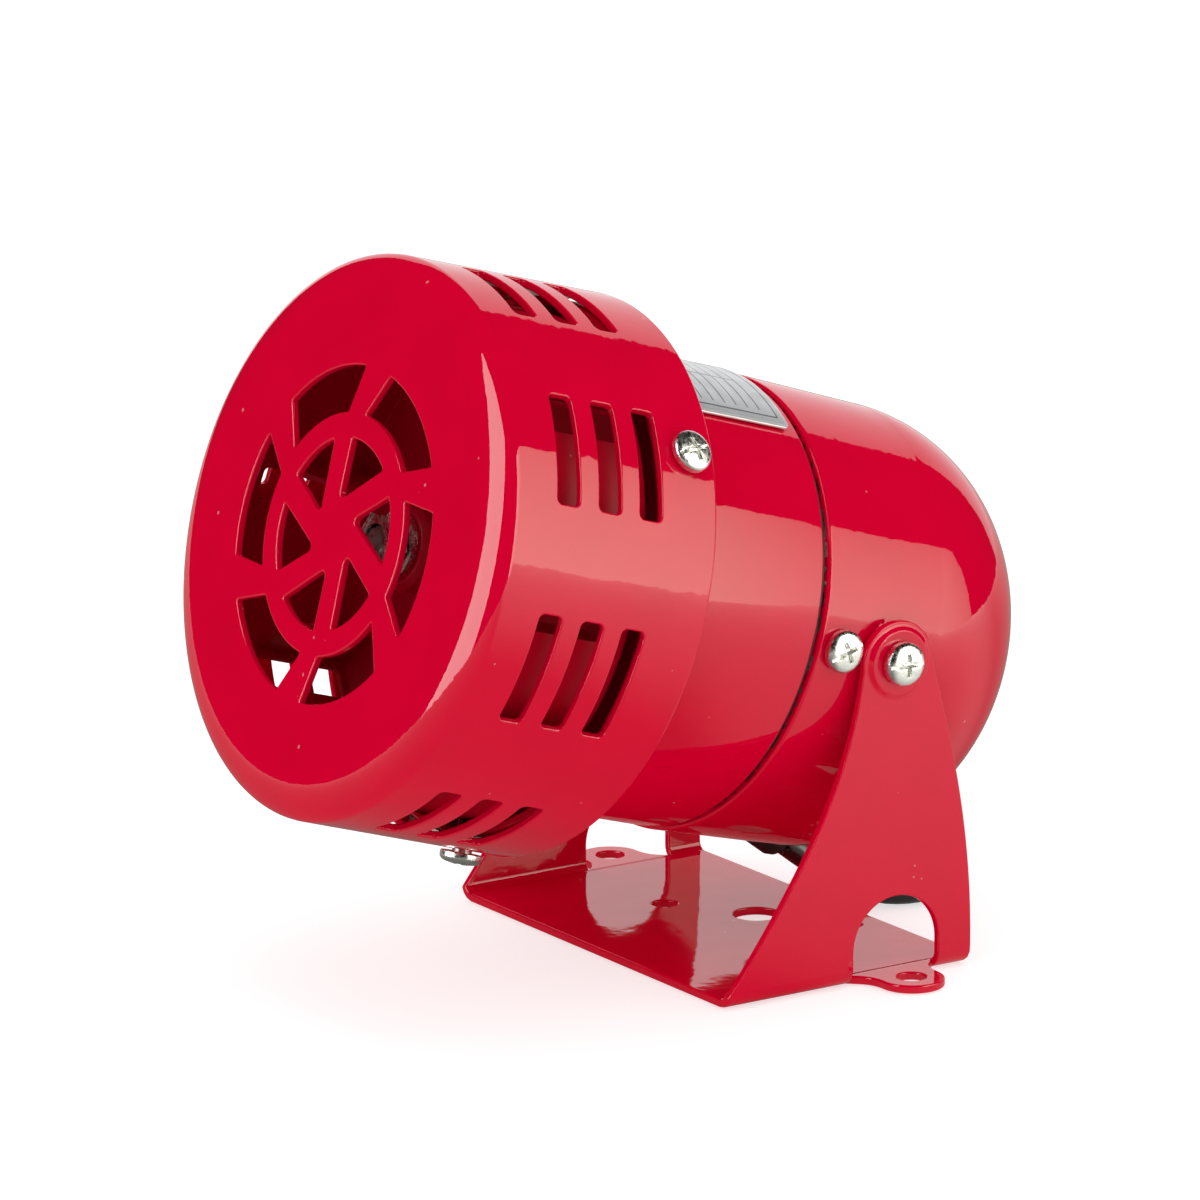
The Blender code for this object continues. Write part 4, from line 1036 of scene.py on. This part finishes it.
def build_screw(name, head, height, length, shank, mat):
    """A pan head with a cross recess and a slot, along +X."""
    steps = 64
    profile = [(-length, 0.0), (-length, shank * 0.8), (-length + 0.0006, shank), (0.0, shank),
               (0.0, head - 0.00012), (0.00008, head), (height * 0.40, head)]
    for k in range(1, 9):
        a = math.pi / 2 * k / 9
        profile.append((height * 0.40 + height * 0.52 * math.sin(a), head * (0.55 + 0.45 * math.cos(a))))
    profile += [(height, head * 0.36), (height, 0.0)]
    bm = bmesh.new()
    rings = []
    for x, r in profile:
        if r == 0:
            v = bm.verts.new((x, 0, 0))
            rings.append([v] * steps)
        else:
            rings.append([bm.verts.new((x, r * math.cos(a), r * math.sin(a))) for a in turn(steps)])
    for a, b in zip(rings, rings[1:]):
        for k in range(steps):
            n = (k + 1) % steps
            corners = list(dict.fromkeys([a[k], a[n], b[n], b[k]]))
            if len(corners) > 2:
                bm.faces.new(corners)
    o = piece(name, as_mesh(name, bm), mat)

    def cut_away(outline, x0, shrink):
        """Take a bar with tapering sides out of the head, from x0 up."""
        bar = bmesh.new()
        low = [bar.verts.new((x0, u * shrink, v * shrink)) for u, v in outline]
        high = [bar.verts.new((height + 0.0004, u, v)) for u, v in outline]
        bar.faces.new(low)
        bar.faces.new(list(reversed(high)))
        for k in range(len(outline)):
            n = (k + 1) % len(outline)
            bar.faces.new([low[k], low[n], high[n], high[k]])
        helper = shown("helper", as_mesh(name + "_cutter", bar))
        m = o.modifiers.new("Cut", "BOOLEAN")
        m.operation, m.solver, m.object = "DIFFERENCE", "EXACT", helper

    w, t, s = head * 0.56, head * 0.125, head * 0.085
    cross = [(-w, -t), (-t, -t), (-t, -w), (t, -w), (t, -t), (w, -t),
             (w, t), (t, t), (t, w), (-t, w), (-t, t), (-w, t)]
    cut_away(cross, height * 0.25, 0.72)
    slot = [(-head * 1.1, -s), (head * 1.1, -s), (head * 1.1, s), (-head * 1.1, s)]
    cut_away(slot, height * 0.72, 1.0)
    m = o.modifiers.new("Bevel", "BEVEL")
    m.width, m.segments, m.limit_method, m.angle_limit = 0.00009, 2, "ANGLE", math.radians(38)
    m.use_clamp_overlap = True
    bpy.context.view_layer.update()
    done = bpy.data.meshes.new_from_object(o.evaluated_get(bpy.context.evaluated_depsgraph_get()))
    for m in list(o.modifiers):
        helper = getattr(m, "object", None)
        o.modifiers.remove(m)
        if helper:
            bpy.data.objects.remove(helper)
    bpy.data.objects.remove(o)
    done.shade_smooth()
    done.set_sharp_from_angle(angle=math.radians(50))
    return done


def put_screw(name, node, mesh, matrix, spin, body):
    m = mesh.copy()
    m.transform(matrix @ Matrix.Rotation(spin, 4, "X"))
    o = shown(name, m)
    seat(o, node, body)


def build_screws():
    small = build_screw("pan_screw", *SMALL_SCREW, ZINC)
    large = build_screw("pivot_bolt", *PIVOT_SCREW, ZINC)

    def radial(radius, angle, station):
        return BODY @ Matrix.Translation(
            Vector((radius * math.cos(angle), station - PIVOT_STATION, radius * math.sin(angle)))
        ) @ Matrix.Rotation(-angle, 4, "Y")

    third = 2 * math.pi / 3
    for k, spin in enumerate((0.35, 1.1, 0.7)):
        put_screw(f"rim_screw_{k + 1}", f"head_screw_{k + 1}", small,
                  radial(HEAD_SCREW_SEAT, HEAD_SCREW_START + k * third, HEAD_SCREW_STATION), spin,
                  "housing")
    for k, spin in enumerate((0.62, 0.2, 1.3)):
        put_screw(f"shell_screw_{k + 1}", f"cover_screw_{k + 1}", small,
                  radial(COVER_SCREW_SEAT, k * third, COVER_SCREW_STATION), spin, "housing")
    for side, angle, spin in (("right", 0.0, 0.30), ("left", math.pi, 0.9)):
        put_screw(f"tilt_screw_{side}", f"pivot_screw_{side}", large,
                  radial(PIVOT_SCREW_SEAT, angle, PIVOT_STATION), spin, "housing")


build_screws()


# ------------------------ rotor
def build_rotor():
    """A drum with eight ports, eight vanes behind them and a back disc on a hub."""
    low, high = DRUM_SPAN
    disc, inner = high - 0.0012, DRUM_RADIUS - DRUM_WALL
    bore, soft = SHAFT_RADIUS + 0.0003, 0.0004
    begin = PORT_START - math.pi / PORTS
    first, last = low + soft, disc - soft
    facets = 160
    corners = [(0.0120, bore), (0.0120, 0.0056), (0.0130, 0.0064), (disc - 0.0020, 0.0064),
               (disc, 0.0090), (disc, inner), (low, inner), (low, DRUM_RADIUS), (last, DRUM_RADIUS),
               (high, DRUM_RADIUS), (high, 0.0070), (high + 0.0030, 0.0064), (high + 0.0030, bore)]
    rows = outline_rows(corners, soft)
    ends = [k for k, (a, b) in enumerate(zip(rows, rows[1:]))
            if min(a[1], b[1]) > inner - 1e-6 and abs(a[0] - b[0]) > 0.010]
    skin = Skin()
    chain(skin, rows[ends[1] + 1:] + rows[:ends[0] + 1], begin, facets)
    chain(skin, rows[ends[0] + 1:ends[1] + 1], begin, facets)

    outer, grid = laid_flat(DRUM_RADIUS, list(np.linspace(first, last, 12)), facets)
    ports = []
    for k in range(PORTS):
        centre, half = (k + 0.5) * 2 * math.pi * DRUM_RADIUS / PORTS, PORT_HALF_ANGLE * DRUM_RADIUS
        ports.append(opening(centre - half, centre + half, *PORT_SPAN, 0.0008, 5, 0.0015))

    def wall(u, v, h):
        return polar(DRUM_RADIUS - h, begin + u, v)

    panel(skin, outer, ports, wall, DRUM_WALL, grid, rim_outer=False, metric=DRUM_RADIUS, edge=0.0002)

    near, far = low + 0.0030, high - 0.0006
    for k in range(PORTS):
        a = PORT_START + k * 2 * math.pi / PORTS - VANE_LAG
        out, across = Vector((math.cos(a), 0, math.sin(a))), Vector((-math.sin(a), 0, math.cos(a)))
        outline = rounded([(VANE_INNER, far), (VANE_INNER, near + 0.0040), (VANE_INNER + 0.0030, near),
                           (inner + 0.0005, near), (inner + 0.0005, far)], 0.0008, 5)

        def blade(u, v, h, out=out, across=across):
            return BODY @ (out * u + Vector((0, v - PIVOT_STATION, 0)) + across * (0.0005 - h))

        panel(skin, outline, [], blade, 0.0010, edge=0.00025)
    rotor = skin.finish("chopper_rotor", ROTOR_RED)
    seat(rotor, "siren_rotor", "rotor")


build_rotor()


# ------------------------ strain relief
def build_grommet():
    """A bush round the lead where it leaves the dome."""
    lean = Vector((0, 0, 1)).rotation_difference(CORD_DIRECTION)
    profile = rounded([(-0.0026, 0.0022), (-0.0026, 0.0030), (-0.0020, 0.0034), (-0.0006, 0.0034),
                       (0.0014, 0.0034), (0.0026, 0.0029), (0.0026, 0.0022)], 0.0003, 4)
    skin = Skin()
    rows = outline_rows(profile, 0)
    rings = []
    for h, r, nh, nr in rows:
        rings.append([skin.vert(cord_out + lean @ Vector((r * math.cos(a), r * math.sin(a), h)),
                                lean @ Vector((nr * math.cos(a), nr * math.sin(a), nh)))
                      for a in turn(48)])
    for a, b in zip(rings, rings[1:] + rings[:1]):
        skin.bridge(a, b)
    grommet = skin.finish("lead_grommet", RUBBER)
    seat(grommet, "cable_grommet", "housing")


build_grommet()


# ------------------------ CAD nodes that stay in view
FINISHES = {
    "zinc": ZINC, "steel": STEEL, "brass": BRASS, "rubber": RUBBER, "jacket": JACKET,
    "red_insulation": RED_CORE, "copper": COPPER, "ferrite": FERRITE, "carbon": CARBON,
    "red_enamel": RED, "rotor_enamel": ROTOR_RED, "label": LABEL,
}
slot_of = {row["node"]: row["material_slot"] for row in frame["record"]["subparts"]}
for node, o in frame["nodes"].items():
    if not o.hide_render:
        mat = WINDING if node == "armature_winding" else FINISHES[slot_of[node]]
        o.data.materials.clear()
        o.data.materials.append(mat)


# ------------------------ floor and light
def paper(name, tone, glow):
    """Matt paper with some light of its own."""
    m = Nodes(name, 0.9, Specular_IOR_Level=0.0, Emission_Color=(1.0, 1.0, 1.0, 1.0),
              Emission_Strength=glow)
    tint = m.mix(m.noise(3.0, 3.0), (tone,) * 3, (tone * 1.02,) * 3)
    return m.done(tint, None, m.bump(m.noise(260.0, 3.0), 4e-5))


SUBJECT = Vector((0.0, 0.0, 0.055))


def around(azimuth, distance, height):
    """A point by its direction seen from above, counted from +X towards +Y."""
    a = math.radians(azimuth)
    return Vector((distance * math.cos(a), distance * math.sin(a), height))


def lit(name, tone=WHITE):
    """A surface with light of its own, whose strength the caller links."""
    return Nodes(name, 0.9, Specular_IOR_Level=0.0, Emission_Color=(*tone, 1.0))


def mirrored_paper():
    """Paper whose light grows away from the siren, most of all towards the right-hand panel."""
    m = lit("lit_paper", (1.0, 1.0, 0.92))
    away = m.vector("LENGTH", m.coords, output="Value")
    brightest = around(MIRROR_FACING, 1.0, 0.0)
    facing = m.vector("DOT_PRODUCT", m.vector("NORMALIZE", m.coords), brightest, "Value")
    glow = m.math("MULTIPLY", m.math("POWER", away, 0.5), MIRROR_GLOW)
    share = m.ramp(facing, 0.60, 0.95, 0.3, 1.0)
    m.link(m.math("MULTIPLY", glow, share), m.shader.inputs["Emission Strength"])
    return m.done((0.0, 0.0, 0.0, 1.0))


def stand_in(name, corners, mat, camera=False, diffuse=False, glossy=False):
    """A flat sheet of the studio that only some kinds of ray meet."""
    mesh = bpy.data.meshes.new(name)
    mesh.from_pydata(corners, [], [(0, 1, 2, 3)])
    mesh.materials.append(mat)
    o = shown(name, mesh)
    o.visible_camera, o.visible_diffuse, o.visible_glossy = camera, diffuse, glossy


def spread(name, mat, depth, half=FLOOR_HALF, **rays):
    """A wide sheet of paper under the siren."""
    stand_in(name, [(x * half, y * half, -depth) for x, y in ((-1, -1), (1, -1), (1, 1), (-1, 1))],
             mat, **rays)


# one sheet is seen, one lights the siren from below and one is mirrored in its gloss
spread("studio_floor", paper("white_paper", FLOOR_TONE, FLOOR_GLOW), 0.0002, camera=True)
spread("studio_bounce", paper("grey_paper", BOUNCE_TONE, BOUNCE_GLOW), 0.0006, diffuse=True)
spread("studio_mirror", mirrored_paper(), 0.0010, half=MIRROR_HALF, glossy=True)


def wall_light(name, near, far, facing, heights, lights, tone=WHITE):
    """A soft panel on the floor between two directions, mirrored in the gloss."""
    feet = [around(v, PANEL_DISTANCE / math.cos(math.radians(v - facing)), 0.0) for v in (near, far)]
    tops = [foot + Vector((0.0, 0.0, h)) for foot, h in zip(feet, heights)]
    along = (feet[1] - feet[0]).normalized()
    m = lit(name, tone)
    place = m.vector("DOT_PRODUCT", m.coords, along, "Value")
    strength = m.ramp(place, feet[0].dot(along), feet[1].dot(along), *lights, smooth=False)
    m.link(strength, m.shader.inputs["Emission Strength"])
    stand_in(name, [feet[0], feet[1], tops[1], tops[0]], m.done((0.0, 0.0, 0.0, 1.0)), glossy=True)


wall_light("right_panel", 8.0, 66.0, 42.0, (1.50, 0.585), (6.5, 1.6), (1.0, 1.0, 0.86))
wall_light("left_panel", 109.0, 174.0, 141.0, (0.87, 1.17), (0.85, 1.15))
wall_light("front_panel", -119.0, -78.0, -99.0, (1.56, 1.38), (5.2, 5.8))

light = bpy.data.lights.new("overhead", "AREA")
light.shape, light.size, light.energy = "SQUARE", OVERHEAD_SIZE, OVERHEAD_POWER
overhead = shown("overhead", light)
overhead.location = OVERHEAD_PLACE
overhead.rotation_euler = (overhead.location - SUBJECT).to_track_quat("Z", "Y").to_euler()
overhead.visible_camera = overhead.visible_glossy = False

world = bpy.data.worlds.new("studio")
scene.world = world
world.use_nodes = True
tree = world.node_tree
background = tree.nodes["Background"]
background.inputs["Color"].default_value = (1.0, 1.0, 1.0, 1.0)
rays = tree.nodes.new("ShaderNodeLightPath")


def sky_for(kind, strength, others):
    """One strength of sky for rays of a kind, and another, SKY or worked out, for the others."""
    n = tree.nodes.new("ShaderNodeMath")
    n.operation = "MULTIPLY_ADD"
    tree.links.new(rays.outputs[kind], n.inputs[0])
    n.inputs[1].default_value = strength - SKY
    if others is None:
        n.inputs[2].default_value = SKY
    else:
        tree.links.new(others, n.inputs[2])
    return n.outputs[0]


glossy_sky = sky_for("Is Glossy Ray", GLOSSY_SKY, None)
tree.links.new(sky_for("Is Camera Ray", CAMERA_SKY, glossy_sky), background.inputs["Strength"])
scene.view_settings.view_transform = "Standard"
